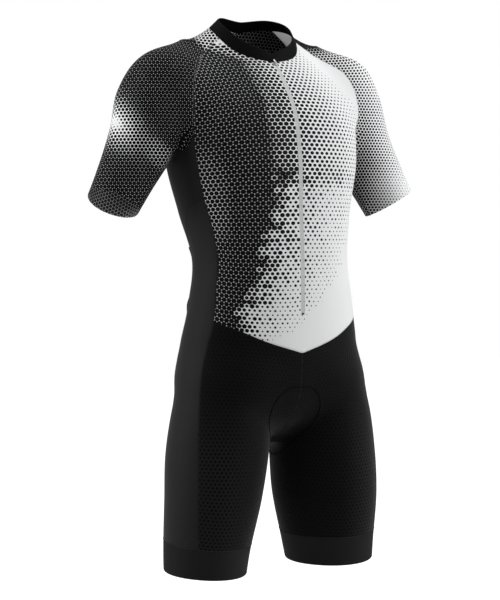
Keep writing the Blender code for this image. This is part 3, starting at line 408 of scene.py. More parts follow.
def studio():
    """Camera, lights, floor and a white room."""
    scene = bpy.context.scene
    scene.view_settings.view_transform = "Standard"
    lens = bpy.data.cameras.new("camera")
    lens.sensor_width = 36.0
    lens.lens = CAMERA_LENS
    camera = bpy.data.objects.new("camera", lens)
    aimed(camera, LOOK_AT + BACK * CAMERA_DISTANCE, LOOK_AT)
    scene.camera = camera
    for across, forward, up, width, height, power in LIGHTS:
        lamp = bpy.data.lights.new("softbox", "AREA")
        lamp.shape = "RECTANGLE"
        lamp.size = width
        lamp.size_y = height
        lamp.energy = power
        lamp.color = (0.985, 0.99, 1.0)
        flat_back = BACK * (1.0, 1.0, 0.0)
        place = LOOK_AT + ACROSS * across + flat_back * forward + np.array((0.0, 0.0, up))
        aimed(bpy.data.objects.new("softbox", lamp), place, LOOK_AT + (0.0, 0.0, 0.1))
    world = bpy.data.worlds.new("white room")
    scene.world = world
    world.use_nodes = True
    tree = world.node_tree
    path = tree.nodes.new("ShaderNodeLightPath")
    strength = tree.nodes.new("ShaderNodeMapRange")
    strength.inputs["To Min"].default_value = ROOM_LIGHT
    strength.inputs["To Max"].default_value = 1.0
    tree.links.new(path.outputs["Is Camera Ray"], strength.inputs["Value"])
    background = tree.nodes["Background"]
    background.inputs["Color"].default_value = (1.0, 1.0, 1.0, 1.0)
    tree.links.new(strength.outputs[0], background.inputs["Strength"])
    mesh = bpy.data.meshes.new("floor")
    corners = [(-1, -1), (1, -1), (1, 1), (-1, 1)]
    points = [(x * FLOOR_REACH, y * FLOOR_REACH, FLOOR_HEIGHT) for x, y in corners]
    mesh.from_pydata(points, [], [(0, 1, 2, 3)])
    floor = bpy.data.objects.new("floor", mesh)
    scene.collection.objects.link(floor)
    material = bpy.data.materials.new("white floor")
    material.use_nodes = True
    shader = material.node_tree.nodes["Principled BSDF"]
    shader.inputs["Base Color"].default_value = (0.8, 0.8, 0.8, 1.0)
    shader.inputs["Roughness"].default_value = 0.9
    shader.inputs["Emission Color"].default_value = (1.0, 1.0, 1.0, 1.0)
    path = material.node_tree.nodes.new("ShaderNodeLightPath")
    material.node_tree.links.new(path.outputs["Is Camera Ray"], shader.inputs["Emission Strength"])
    mesh.materials.append(material)


studio()

# ---------------------------------------------------------------- the body surface
def column(at, where, values):
    """Reads one column of a table at any place, on a smooth curve through its rows."""
    order = np.argsort(where)
    x, y = where[order], values[order]
    slope = np.gradient(y, x)
    at = np.clip(at, x[0], x[-1])
    low = np.clip(np.searchsorted(x, at) - 1, 0, len(x) - 2)
    step = x[low + 1] - x[low]
    t = (at - x[low]) / step
    start = (2 * t**3 - 3 * t**2 + 1) * y[low] + (t**3 - 2 * t**2 + t) * step * slope[low]
    end = (3 * t**2 - 2 * t**3) * y[low + 1] + (t**3 - t**2) * step * slope[low + 1]
    return start + end


def ring_distance(u, v, half_u, half_v, squareness):
    """Distance outside a superellipse, measured along the line from its middle."""
    scaled = (np.abs(u / half_u) ** squareness + np.abs(v / half_v) ** squareness) ** (1 / squareness)
    reach = np.hypot(u, v)
    return np.where(scaled > 1e-9, reach - reach / np.maximum(scaled, 1e-9), -np.minimum(half_u, half_v))


def capped(distance, beyond):
    """Rounds off a tube where it goes beyond its first section."""
    return np.where(beyond > 0, np.hypot(np.maximum(distance, 0), beyond), distance)


def blended(first, second, width):
    """Joins two shapes with a fillet."""
    share = np.clip(0.5 + 0.5 * (second - first) / width, 0, 1)
    return second * (1 - share) + first * share - width * share * (1 - share)


def turned(u, v, turn):
    return u * np.cos(turn) - v * np.sin(turn), u * np.sin(turn) + v * np.cos(turn)


def trunk_distance(p):
    z = p[..., 2]
    half, front, back, middle, squareness = (column(z, TRUNK[:, 0], TRUNK[:, i]) for i in range(1, 6))
    y = p[..., 1] - middle
    distance = ring_distance(p[..., 0], y, half, np.where(y < 0, front, back), squareness)
    return capped(distance, np.maximum(z - TRUNK[0, 0], TRUNK[-1, 0] - z))


def leg_distance(p, side):
    z = p[..., 2]
    x_middle, y_middle, half, deep = (column(z, LEG[:, 0], LEG[:, i]) for i in range(1, 5))
    u, v = turned(p[..., 0] * -side - x_middle, p[..., 1] - y_middle, LEG_TURN)
    distance = ring_distance(u, v, half, deep, LEG_SQUARENESS)
    return capped(distance, z - LEG[0, 0])


def arm_axes():
    along = (HAND - SHOULDER) / np.linalg.norm(HAND - SHOULDER)
    across = np.cross(along, (0.0, 1.0, 0.0))
    across /= np.linalg.norm(across)
    return along, across, np.cross(along, across)


def arm_distance(p, side):
    along, across, deep = arm_axes()
    rel = p * (-side, 1.0, 1.0) - SHOULDER
    s = rel @ along
    half, depth = (column(s, ARM[:, 0], ARM[:, i]) for i in (1, 2))
    u, v = turned(rel @ across, rel @ deep, ARM_TURN)
    distance = ring_distance(u, v, half, depth, ARM_SQUARENESS)
    return capped(distance, ARM[0, 0] - s)


def neck_distance(p):
    up = np.array((0.0, -np.sin(NECK_LEAN), np.cos(NECK_LEAN)))
    backward = np.array((0.0, np.cos(NECK_LEAN), np.sin(NECK_LEAN)))
    rel = p - NECK_FOOT
    s = rel @ up
    half, front, back = (column(s, NECK[:, 0], NECK[:, i]) for i in (1, 2, 3))
    v = rel @ backward
    distance = ring_distance(rel[..., 0], v, half, np.where(v < 0, front, back), 2.0)
    return capped(distance, NECK[0, 0] - s)


def body_distance(p):
    """Signed distance to the outer face of the cloth, near enough to settle points on it."""
    legs = blended(leg_distance(p, -1), leg_distance(p, 1), LEG_BLEND)
    arms = np.minimum(arm_distance(p, -1), arm_distance(p, 1))
    distance = blended(trunk_distance(p), legs, LEG_BLEND)
    share = np.clip((p[..., 2] - ARMPIT_RANGE[0]) / (ARMPIT_RANGE[1] - ARMPIT_RANGE[0]), 0, 1)
    share = share**2 * (3 - 2 * share)
    distance = blended(distance, arms, SHOULDER_BLEND + (ARMPIT_BLEND - SHOULDER_BLEND) * share)
    return blended(distance, neck_distance(p), NECK_BLEND)


def slope_at(p, step=2e-4):
    offsets = np.eye(3) * step
    return np.stack([body_distance(p + o) - body_distance(p - o) for o in offsets], -1) / (2 * step)


def normals_at(p):
    slope = slope_at(p)
    return slope / np.linalg.norm(slope, axis=-1, keepdims=True)


def settled(p, rounds=6):
    """Moves points onto the body surface along its slope."""
    p = np.array(p, float)
    for _ in range(rounds):
        slope = slope_at(p)
        p -= body_distance(p)[..., None] * slope / np.maximum((slope**2).sum(-1, keepdims=True), 0.05)
    return p


# ---------------------------------------------------------------- seam lines
def resampled(points, steps):
    """The same line with its points at equal distances."""
    reach = np.concatenate(([0.0], np.cumsum(np.linalg.norm(np.diff(points, axis=0), axis=1))))
    at = np.linspace(0.0, reach[-1], steps + 1)
    return np.stack([np.interp(at, reach, points[:, i]) for i in range(3)], -1)


def smooth_line(points, fine=24):
    """A smooth curve through the points."""
    points = np.array(points, float)
    at = np.concatenate(([0.0], np.cumsum(np.linalg.norm(np.diff(points, axis=0), axis=1))))
    where = np.interp(np.arange(fine * (len(points) - 1) + 1) / fine, np.arange(len(points)), at)
    return np.stack([column(where, at, points[:, i]) for i in range(3)], -1)


def seam(points, *steps_and_stops):
    """A smooth line on the body through the points, divided into equal stretches between its stops.

    steps_and_stops alternates the steps up to a stop with the stop's place in the list of points."""
    fine = 24
    line = settled(smooth_line(points, fine))
    parts = []
    start = 0
    for steps, stop in zip(steps_and_stops[::2], steps_and_stops[1::2]):
        end = stop * fine
        parts.append(resampled(line[start : end + 1], steps))
        start = end
    return [settled(part) for part in parts]


def joined(*lines):
    return np.concatenate([lines[0]] + [line[1:] for line in lines[1:]])


def mirrored(points):
    return np.array(points) * (-1.0, 1.0, 1.0)


def collar_ring(angles, sizes, heights):
    """Points of a collar edge at angles from the centre front, positive to the wearer's left."""
    half, front, back, middle = sizes
    turn = np.radians(angles)
    facing = np.cos(turn)
    height = column(np.abs(angles), COLLAR[:, 0], heights)
    return np.stack([half * np.sin(turn), middle - np.where(facing > 0, front, back) * facing, height], -1)


def neck_edge(start, end, steps):
    """The panels' edge under the collar, between two angles."""
    return settled(collar_ring(np.linspace(start, end, steps + 1), COLLAR_LOWER, COLLAR[:, 1]))


def reach_out(middle, directions, furthest=0.16):
    """From a middle inside the body, the points where the directions meet its surface."""
    low, high = np.zeros(len(directions)), np.full(len(directions), furthest)
    for _ in range(40):
        half = (low + high) / 2
        inside = body_distance(middle + directions * half[:, None]) < 0
        low, high = np.where(inside, half, low), np.where(inside, high, half)
    return middle + directions * low[:, None]


def leg_ring(name, start, end, steps):
    """Part of the right leg's ring of that name, between two angles seen from above."""
    height, outward_rise, backward_rise = LEG_RINGS[name]
    x, y = (column(np.array(height), LEG[:, 0], LEG[:, i]) for i in (1, 2))
    turn = np.radians(np.linspace(start, end, steps + 1))
    rise = -outward_rise * np.cos(turn) + backward_rise * np.sin(turn)
    directions = np.stack([np.cos(turn), np.sin(turn), rise], -1)
    return reach_out(np.array((x, y, height)), directions)


def cuff_ring(start, end, steps):
    """Part of the right sleeve's end, by angles from the underarm, turning over the front."""
    along, across, _ = arm_axes()
    normal = CUFF_NORMAL / np.linalg.norm(CUFF_NORMAL)
    middle = SHOULDER + along * CUFF_DISTANCE
    inward = across - normal * (across @ normal)
    inward *= np.sign(inward[0]) / np.linalg.norm(inward)
    forward = np.cross(inward, normal)
    forward *= -np.sign(forward[1])
    turn = np.radians(np.linspace(start, end, steps + 1))
    return reach_out(middle, np.cos(turn)[:, None] * inward + np.sin(turn)[:, None] * forward)


def through(line, places):
    """Reads a line of points at the places, counted in its own stretches."""
    whole = np.arange(len(line))
    return np.stack([np.interp(places, whole, line[:, i]) for i in range(3)], -1)


# ---------------------------------------------------------------- panels
def patch(top, bottom, left, right, guides=(), rounds=60):
    """A grid on the body between four seams, rows from top to bottom and columns from left to right.

    guides are lines from top to bottom that the rows pass on their way, evenly spaced."""
    rows, columns = len(left), len(top)
    v = np.linspace(0, 1, rows)[:, None, None]
    u = np.linspace(0, 1, columns)[None, :, None]
    if guides:
        lines = np.stack([left, *guides, right], 1)
        at = np.linspace(0, 1, lines.shape[1])
        grid = np.stack([[column(u[0, :, 0], at, row[:, i]) for i in range(3)] for row in lines])
        grid = np.moveaxis(grid, 1, 2)
    else:
        corners = (1 - u) * (1 - v) * top[0] + u * (1 - v) * top[-1]
        corners = corners + (1 - u) * v * bottom[0] + u * v * bottom[-1]
        grid = (1 - v) * top[None] + v * bottom[None] + (1 - u) * left[:, None] + u * right[:, None] - corners
    grid[0], grid[-1], grid[:, 0], grid[:, -1] = top, bottom, left, right
    grid[1:-1, 1:-1] = settled(grid[1:-1, 1:-1], 12)
    for _ in range(rounds):
        around = grid[:-2, 1:-1] + grid[2:, 1:-1] + grid[1:-1, :-2] + grid[1:-1, 2:]
        grid[1:-1, 1:-1] = settled(around / 4, 2)
    grid[1:-1, 1:-1] = settled(grid[1:-1, 1:-1])
    return grid


def inset_edges(grid, normals, sides, gap):
    """Draws the named sides of a grid in by half the seam gap, square to their own lines."""
    moved = grid.copy()
    whole = slice(None)
    for name in sides:
        places = (0, 1) if name in ("top", "left") else (-1, -2)
        edge, inside = ((at, whole) if name in ("top", "bottom") else (whole, at) for at in places)
        line, inner = grid[edge], grid[inside]
        stretch = np.diff(line, axis=0)
        stretch /= np.linalg.norm(stretch, axis=1, keepdims=True)
        before = np.concatenate((stretch[:1], stretch))
        after = np.concatenate((stretch, stretch[-1:]))
        normal = normals[edge]
        inward_before, inward_after = np.cross(before, normal), np.cross(after, normal)
        inward = inward_before + inward_after
        inward /= 1 + np.clip((inward_before * inward_after).sum(-1, keepdims=True), -0.6, 1)
        middle = len(line) // 2
        if (inward[middle] * (inner - line)[middle]).sum() < 0:
            inward = -inward
        moved[edge] += inward * gap / 2
    return moved


# ---------------------------------------------------------------- seams of the right side
def right_seams(times=1):
    """Every seam of the right side, by name. times divides each of its stretches further."""
    s = {}

    def run(names, points, *steps_and_stops):
        """Adds the stretches of a seam. Each takes its steps and the place of its last point."""
        steps_and_stops = list(steps_and_stops)
        steps_and_stops[::2] = [steps * times for steps in steps_and_stops[::2]]
        s.update(zip(names.split(), seam(points, *steps_and_stops)))

    neck_front = neck_edge(0.0, -RAGLAN_FRONT_ANGLE, FRONT_ACROSS * times)
    neck_sleeve = neck_edge(-RAGLAN_FRONT_ANGLE, -RAGLAN_BACK_ANGLE, SLEEVE_TOP_STEPS * times)
    s["neck_sleeve"] = neck_sleeve
    s["cuff"] = cuff_ring(UNDERARM_ANGLE, UNDERARM_ANGLE + 360.0, SLEEVE_ACROSS * times)
    s["band_front"] = leg_ring("band", SIDE_FRONT_ANGLE, INSEAM_ANGLE, FRONT_ACROSS * times)
    s["band_back"] = leg_ring("band", INSEAM_ANGLE - 360.0, SIDE_BACK_ANGLE, HALF_BACK_ACROSS * times)
    s["band_side"] = leg_ring("band", SIDE_BACK_ANGLE, SIDE_FRONT_ANGLE, 2 * ARMHOLE_STEPS * times)
    line = [neck_sleeve[0], *RAGLAN_FRONT, ARMHOLE_FRONT_TOP, *ARMHOLE_FRONT, UNDERARM]
    stops = RAGLAN_STEPS, len(RAGLAN_FRONT) + 1, ARMHOLE_STEPS, len(line) - 1
    run("raglan_front armhole_front", line, *stops)
    underarm = s["armhole_front"][-1]
    line = [neck_sleeve[-1], *RAGLAN_BACK, ARMHOLE_BACK_TOP, *ARMHOLE_BACK, underarm]
    stops = RAGLAN_STEPS, len(RAGLAN_BACK) + 1, ARMHOLE_STEPS, len(line) - 1
    run("raglan_back armhole_back", line, *stops)
    s["armhole_back"][-1] = underarm
    run("underarm", [underarm, s["cuff"][0]], UNDERARM_STEPS, 1)
    for face, upper, arc_end, middle, waist_end, lower, foot, middle_steps, lower_steps in (
        ("front", SIDE_FRONT_UPPER, ARC_FRONT, SIDE_FRONT_MIDDLE, WAIST_FRONT_SIDE, SIDE_FRONT_LOWER,
         s["band_front"][0], SIDE_FRONT_MIDDLE_STEPS, SIDE_FRONT_LOWER_STEPS),
        ("back", SIDE_BACK_UPPER, ARC_BACK, SIDE_BACK_MIDDLE, WAIST_BACK_SIDE, SIDE_BACK_LOWER,
         s["band_back"][-1], SIDE_BACK_MIDDLE_STEPS, SIDE_BACK_LOWER_STEPS),
    ):
        line = [s[f"raglan_{face}"][-1], *upper, arc_end, *middle, waist_end, *lower, foot]
        arc = len(upper) + 1
        waist = arc + len(middle) + 1
        names = f"side_{face}_upper side_{face}_middle side_{face}_lower"
        run(names, line, SIDE_UPPER_STEPS, arc, middle_steps, waist, lower_steps, len(line) - 1)

    def single(name, points, steps):
        run(name, points, steps, len(points) - 1)

    single("arc", [s["side_front_upper"][-1], *SIDE_ARC, s["side_back_upper"][-1]], 2 * ARMHOLE_STEPS)
    single("waist_front", [WAIST_POINT, *WAIST_FRONT[::-1], s["side_front_middle"][-1]], FRONT_ACROSS)
    single("waist_back", [s["side_back_middle"][-1], *WAIST_BACK, WAIST_BACK_MIDDLE], HALF_BACK_ACROSS)
    point = s["waist_front"][0]
    single("centre_front", [point, *CENTRE_FRONT, CROTCH], CENTRE_FRONT_STEPS)
    crotch = s["centre_front"][-1]
    single("centre_back", [s["waist_back"][-1], *CENTRE_BACK, crotch], CENTRE_BACK_STEPS)
    single("inseam", [crotch, *INSEAM, s["band_front"][-1]], INSEAM_STEPS)
    s["band_back"][0] = s["band_front"][-1]
    s["zip"], s["neck_front"] = zip_edge(neck_front, point, times)
    return s


def middle_front(start, end, steps, fine):
    """The body's middle line in front, between two heights, from that many points."""
    heights = np.linspace(start, end, fine)
    depths = column(heights, TRUNK[:, 0], TRUNK[:, 4] - TRUNK[:, 2])
    return resampled(settled(np.stack([0 * heights, depths, heights], -1)), steps)


def zip_edge(neck_front, waist_point, times):
    """The right front's edge at the zip and below it, and its neck edge cut back to that edge."""
    steps = RAGLAN_STEPS + SIDE_UPPER_STEPS + SIDE_FRONT_MIDDLE_STEPS
    open_part = middle_front(neck_front[0][2], ZIP_END_HEIGHT, (steps - CLOSED_STEPS - 1) * times, 60)
    closed_part = middle_front(ZIP_END_HEIGHT - ZIP_CLOSE, waist_point[2], CLOSED_STEPS * times, 20)
    closed_part[-1] = waist_point
    open_part[0] = neck_front[0]
    open_part[:, 0] = -ZIP_WIDTH / 2
    neck = neck_front.copy()
    neck[0] = open_part[0]
    closing = np.linspace(open_part[-1], closed_part[0], times + 1)[1:-1]
    return np.concatenate((open_part, closing, closed_part)), neck


# ---------------------------------------------------------------- fine surfaces
def spread(lines, times):
    """More lines between the lines of a grid, on smooth curves through its points."""
    at = np.linspace(0, len(lines) - 1, times * (len(lines) - 1) + 1)
    flat = lines.reshape(len(lines), -1)
    dense = np.stack([column(at, np.arange(len(lines)), values) for values in flat.T], -1)
    return dense.reshape(len(at), *lines.shape[1:])


def both_ways(grid, act):
    """Does the same to a grid's rows and then to its columns."""
    grid = act(grid)
    return act(grid.swapaxes(0, 1)).swapaxes(0, 1)


def drawn_to(grid, edges, times):
    """Moves a denser grid's sides onto the true seams, easing out over one of its old stretches."""
    for lines, first, last in ((grid, edges[0], edges[1]), (grid.swapaxes(0, 1), edges[2], edges[3])):
        for edge, start, step in ((first, 0, 1), (last, len(lines) - 1, -1)):
            change = edge - lines[start, :, :3]
            for k in range(times):
                lines[start + step * k, :, :3] += change * (1 - k / times)


def stations(length, count):
    """Places along a line of that length: close together near both ends, even between them."""
    inner = np.linspace(LIP[-1], length - LIP[-1], count + 1)
    return np.concatenate((LIP[:-1], inner, length - LIP[-2::-1]))


def spaced(lines):
    """The same lines with their points at stations, as many for each line."""
    reach = np.linalg.norm(np.diff(lines[..., :3], axis=1), axis=2).cumsum(1)
    reach = np.pad(reach, ((0, 0), (1, 0)))
    count = max(3, int(np.ceil(reach[:, -1].max() / FINE)))
    made = []
    for line, along in zip(lines, reach):
        places = stations(along[-1], count)
        made.append(np.stack([np.interp(places, along, values) for values in line.T], -1))
    return np.stack(made)


def fine_panel(grid, edges, maps, times=5):
    """A panel's fine grid and its maps: the coarse grid on smooth curves, between the true seams."""
    whole = np.concatenate((grid, *maps), -1)
    whole = both_ways(whole, lambda lines: spread(lines, times))
    drawn_to(whole, edges, times)
    whole = both_ways(whole, spaced)
    whole[..., :3] = settled(whole[..., :3], 2)
    return whole[..., :3], whole[..., 3:]


def from_sides(grid):
    """How far each point of a grid lies from its top, bottom, left and right sides, along the cloth."""
    far = []
    for lines in (grid.swapaxes(0, 1), grid):
        reach = np.pad(np.linalg.norm(np.diff(lines, axis=1), axis=2).cumsum(1), ((0, 0), (1, 0)))
        far += [reach, reach[:, -1:] - reach]
    return far[0].T, far[1].T, far[2], far[3]


def bend_down(distance, depth):
    """How far cloth dips towards a seam at that distance from it."""
    return depth * (1 - np.clip(distance / LIP[-1], 0, 1)) ** 2


# ---------------------------------------------------------------- laying cloth out flat
def laid_flat(grid, rounds=40):
    """Flat places for a grid's points that keep the cloth's lengths and angles as nearly as they can."""
    rows, columns = grid.shape[:2]
    index = np.arange(rows * columns).reshape(rows, columns)
    a, b, c, d = (part.ravel() for part in (index[:-1, :-1], index[:-1, 1:], index[1:, 1:], index[1:, :-1]))
    corners = np.concatenate([np.stack(three, -1) for three in ((a, b, c), (a, c, d), (a, b, d), (b, c, d))])
    p = grid.reshape(-1, 3)[corners]
    first, second = p[:, 1] - p[:, 0], p[:, 2] - p[:, 0]
    length = np.maximum(np.linalg.norm(first, axis=1), 1e-6)
    forward = (first * second).sum(1) / length
    sideways = np.linalg.norm(np.cross(first, second), axis=1) / length
    corner_places = np.stack([0 * length, length, forward + 1j * sideways], 1)
    steps = corner_places[:, [1, 2, 0]] - corner_places
    each = np.arange(steps.size)
    equations = np.zeros((steps.size, rows * columns))
    equations[each, corners[:, [1, 2, 0]].ravel()] = 1
    equations[each, corners.ravel()] = -1
    solve = np.linalg.pinv(equations)
    across = np.linalg.norm(np.diff(grid, axis=1), axis=2).mean(0).cumsum()
    down = np.linalg.norm(np.diff(grid, axis=0), axis=2).mean(1).cumsum()
    flat = (np.concatenate(([0], across))[None, :] + 1j * np.concatenate(([0], down))[:, None]).ravel()
    for _ in range(rounds):
        now = flat[corners[:, [1, 2, 0]]] - flat[corners]
        turn = (now * steps.conj()).sum(1)
        turn /= np.maximum(np.abs(turn), 1e-12)
        flat = solve @ (steps * turn[:, None]).ravel()
    flat = flat.reshape(rows, columns)
    return np.stack([flat.real, -flat.imag], -1)


def laid_out(grid, wanted, own):
    """Flat places for a grid's points, by least squares from the flat step wanted for each of its stretches.

    wanted takes the steps, the points halfway along them and the same steps on the cloth's own flat places,
    and returns their flat steps."""
    rows, columns = grid.shape[:2]
    index = np.arange(rows * columns).reshape(rows, columns)
    starts = np.concatenate((index[:, :-1].ravel(), index[:-1].ravel()))
    ends = np.concatenate((index[:, 1:].ravel(), index[1:].ravel()))
    points = grid.reshape(-1, 3)
    steps = points[ends] - points[starts]
    middles = (points[ends] + points[starts]) / 2
    facing = np.clip(-normals_at(middles) @ SEEN_ALONG, 0, 1)[:, None]
    weights = (PRINT_LEAST + facing**2) / np.maximum(np.linalg.norm(steps, axis=1, keepdims=True), 0.001)
    equations = np.zeros((len(ends), len(points)))
    each = np.arange(len(ends))
    equations[each, starts] = -weights[:, 0]
    equations[each, ends] = weights[:, 0]
    own = own.reshape(-1, 2)
    flat_steps = wanted(steps, middles, own[ends] - own[starts])
    return np.linalg.lstsq(equations, flat_steps * weights, rcond=None)[0].reshape(rows, columns, 2)


def front_print(steps, middles, _):
    """Steps of the front's print, which is drawn out sideways where the cloth is stretched most."""
    normals = normals_at(middles)
    level = np.cross((0.0, 0.0, 1.0), normals)
    level /= np.linalg.norm(level, axis=1, keepdims=True)
    up = np.cross(normals, level)
    height, *columns = PRINT_STRETCH.T
    right, centre, left, tilt = (column(middles[:, 2], height, values) for values in columns)
    share = np.clip(middles[:, 0] / PRINT_SIDE, -1, 1)
    stretch = centre + np.where(share < 0, (centre - right) * share, (left - centre) * share)
    sideways = (steps * level).sum(1)
    lean = tilt * np.clip(-share, 0, 1)
    return np.stack([sideways / stretch, (steps * up).sum(1) - sideways * lean], -1)


def sleeve_print(steps, middles, own_steps):
    """Steps of a sleeve's print: level as the front corner sees it, and the cloth's own elsewhere."""
    facing = np.clip(-normals_at(middles) @ SEEN_ALONG, 0, 1)
    seen = steps @ SEEN_ACROSS + 1j * (steps @ SEEN_UP)
    flat = own_steps[:, 0] + 1j * own_steps[:, 1]
    ways = [(way, (seen * way.conj() * facing).sum()) for way in (flat, flat.conj())]
    own, turn = max(ways, key=lambda way: abs(way[1]))
    own = own * turn / abs(turn)
    share = np.clip((facing - PRINT_AWAY) / (PRINT_FACING - PRINT_AWAY), 0, 1)
    mixed = seen * share + own * (1 - share)
    return np.stack([mixed.real, mixed.imag], -1)


def placed_print(grid):
    """A sleeve's print map, put where the front corner sees it."""
    flat = laid_out(grid, sleeve_print, laid_flat(grid))
    facing = normals_at(grid) @ SEEN_ALONG < -PRINT_SEEN
    seen = np.stack([grid @ SEEN_ACROSS, grid @ SEEN_UP], -1)
    return flat + (seen - flat)[facing].mean(0)


# ---------------------------------------------------------------- pieces
def new_piece(name, points, faces, finish, body="suit"):
    """A mesh piece of the object, with its finish and its body."""
    mesh = bpy.data.meshes.new(name)
    mesh.from_pydata(points.tolist(), [], faces)
    for material in finish if isinstance(finish, tuple) else (finish,):
        mesh.materials.append(material)
    made = bpy.data.objects.new(name, mesh)
    bpy.context.scene.collection.objects.link(made)
    mesh.shade_smooth()
    mesh.set_sharp_from_angle(angle=np.radians(50))
    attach(made, body)
    return made


def shell(name, outer, inner, maps, finish, closed=False):
    """Cloth between an outer and an inner grid. closed joins its last column to its first.

    maps holds the cloth map's u and v and, where there is a print, its u and v. A closed one has one
    column more."""
    rows, columns = outer.shape[:2]
    across = columns if closed else columns - 1
    i, j = (part.ravel() for part in np.mgrid[: rows - 1, :across])
    a, b, c, d = (np.stack([i + di, j + dj, 0 * i], -1) for di, dj in ((0, 0), (0, 1), (1, 1), (1, 0)))
    under = np.array((0, 0, 1))
    quads = [np.stack([a, b, c, d], 1), np.stack([d, c, b, a], 1) + under]
    first, last = i == 0, i == rows - 2
    quads.append(np.stack([b, a, a + under, b + under], 1)[first])
    quads.append(np.stack([d, c, c + under, d + under], 1)[last])
    if not closed:
        first, last = j == 0, j == columns - 2
        quads.append(np.stack([a, d, d + under, a + under], 1)[first])
        quads.append(np.stack([c, b, b + under, c + under], 1)[last])
    sizes = [len(part) for part in quads]
    corners = np.concatenate(quads)
    points = np.concatenate((outer.reshape(-1, 3), inner.reshape(-1, 3)))
    faces = corners[..., 2] * rows * columns + corners[..., 0] * columns + corners[..., 1] % columns
    middle = faces[sizes[0] // 2]
    facing = np.cross(points[middle[2]] - points[middle[0]], points[middle[3]] - points[middle[1]])
    if facing @ (points[middle[0]] - points[middle[0] + rows * columns]) < 0:
        faces, corners = faces[:, ::-1], corners[:, ::-1]
    made = new_piece(name, points, faces.tolist(), finish)
    for k, label in enumerate(("cloth", "print")[: maps.shape[2] // 2]):
        layer = made.data.uv_layers.new(name=label)
        layer.data.foreach_set("uv", maps[corners[..., 0], corners[..., 1], 2 * k : 2 * k + 2].ravel())
    if len(made.data.materials) > 1:
        which = np.zeros(len(faces), int)
        which[sizes[0] : sizes[0] + sizes[1]] = 1
        made.data.polygons.foreach_set("material_index", which)
    return made


def panel(name, grid, edges, finish, printed=None, open_sides=(), flush_sides=()):
    """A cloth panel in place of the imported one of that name, on a fine grid between its true seams.

    Its cloth is rounded off at open sides and doesn't dip at flush ones."""
    flat = laid_flat(grid)
    maps = [flat] if printed is None else [flat, printed]
    fine, fine_maps = fine_panel(grid, edges, maps)
    normals = normals_at(fine)
    sides = ("top", "bottom", "left", "right")
    seamed = [side for side in sides if side not in open_sides]
    outer = inset_edges(fine, normals, seamed, SEAM_GAP)
    dip, rise = 0, 0
    for side, distance in zip(sides, from_sides(fine)):
        if side in flush_sides:
            continue
        dip = np.maximum(dip, bend_down(distance, SEAM_DIP if side in seamed else CLOTH * EDGE_ROUND))
        if side in open_sides:
            rise = np.maximum(rise, bend_down(distance, CLOTH * EDGE_ROUND))
    inner = outer - normals * CLOTH
    outer = outer - normals * np.expand_dims(dip, -1)
    inner = inner + normals * np.expand_dims(rise + 0 * dip, -1)
    made = shell(f"cloth_{name}", outer, inner, fine_maps, finish)
    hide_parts(name)
    return made


# ---------------------------------------------------------------- finishes
class Value:
    """The number that a socket of a finish gives, for sums and products with others."""

    def __init__(self, finish, socket):
        self.finish = finish
        self.socket = socket

    def __add__(self, other):
        return self.finish.math("ADD", self, other)

    def __sub__(self, other):
        return self.finish.math("SUBTRACT", self, other)

    def __mul__(self, other):
        return self.finish.math("MULTIPLY", self, other)

    def __truediv__(self, other):
        return self.finish.math("DIVIDE", self, other)

    def at_most(self, other):
        return self.finish.math("MINIMUM", self, other)


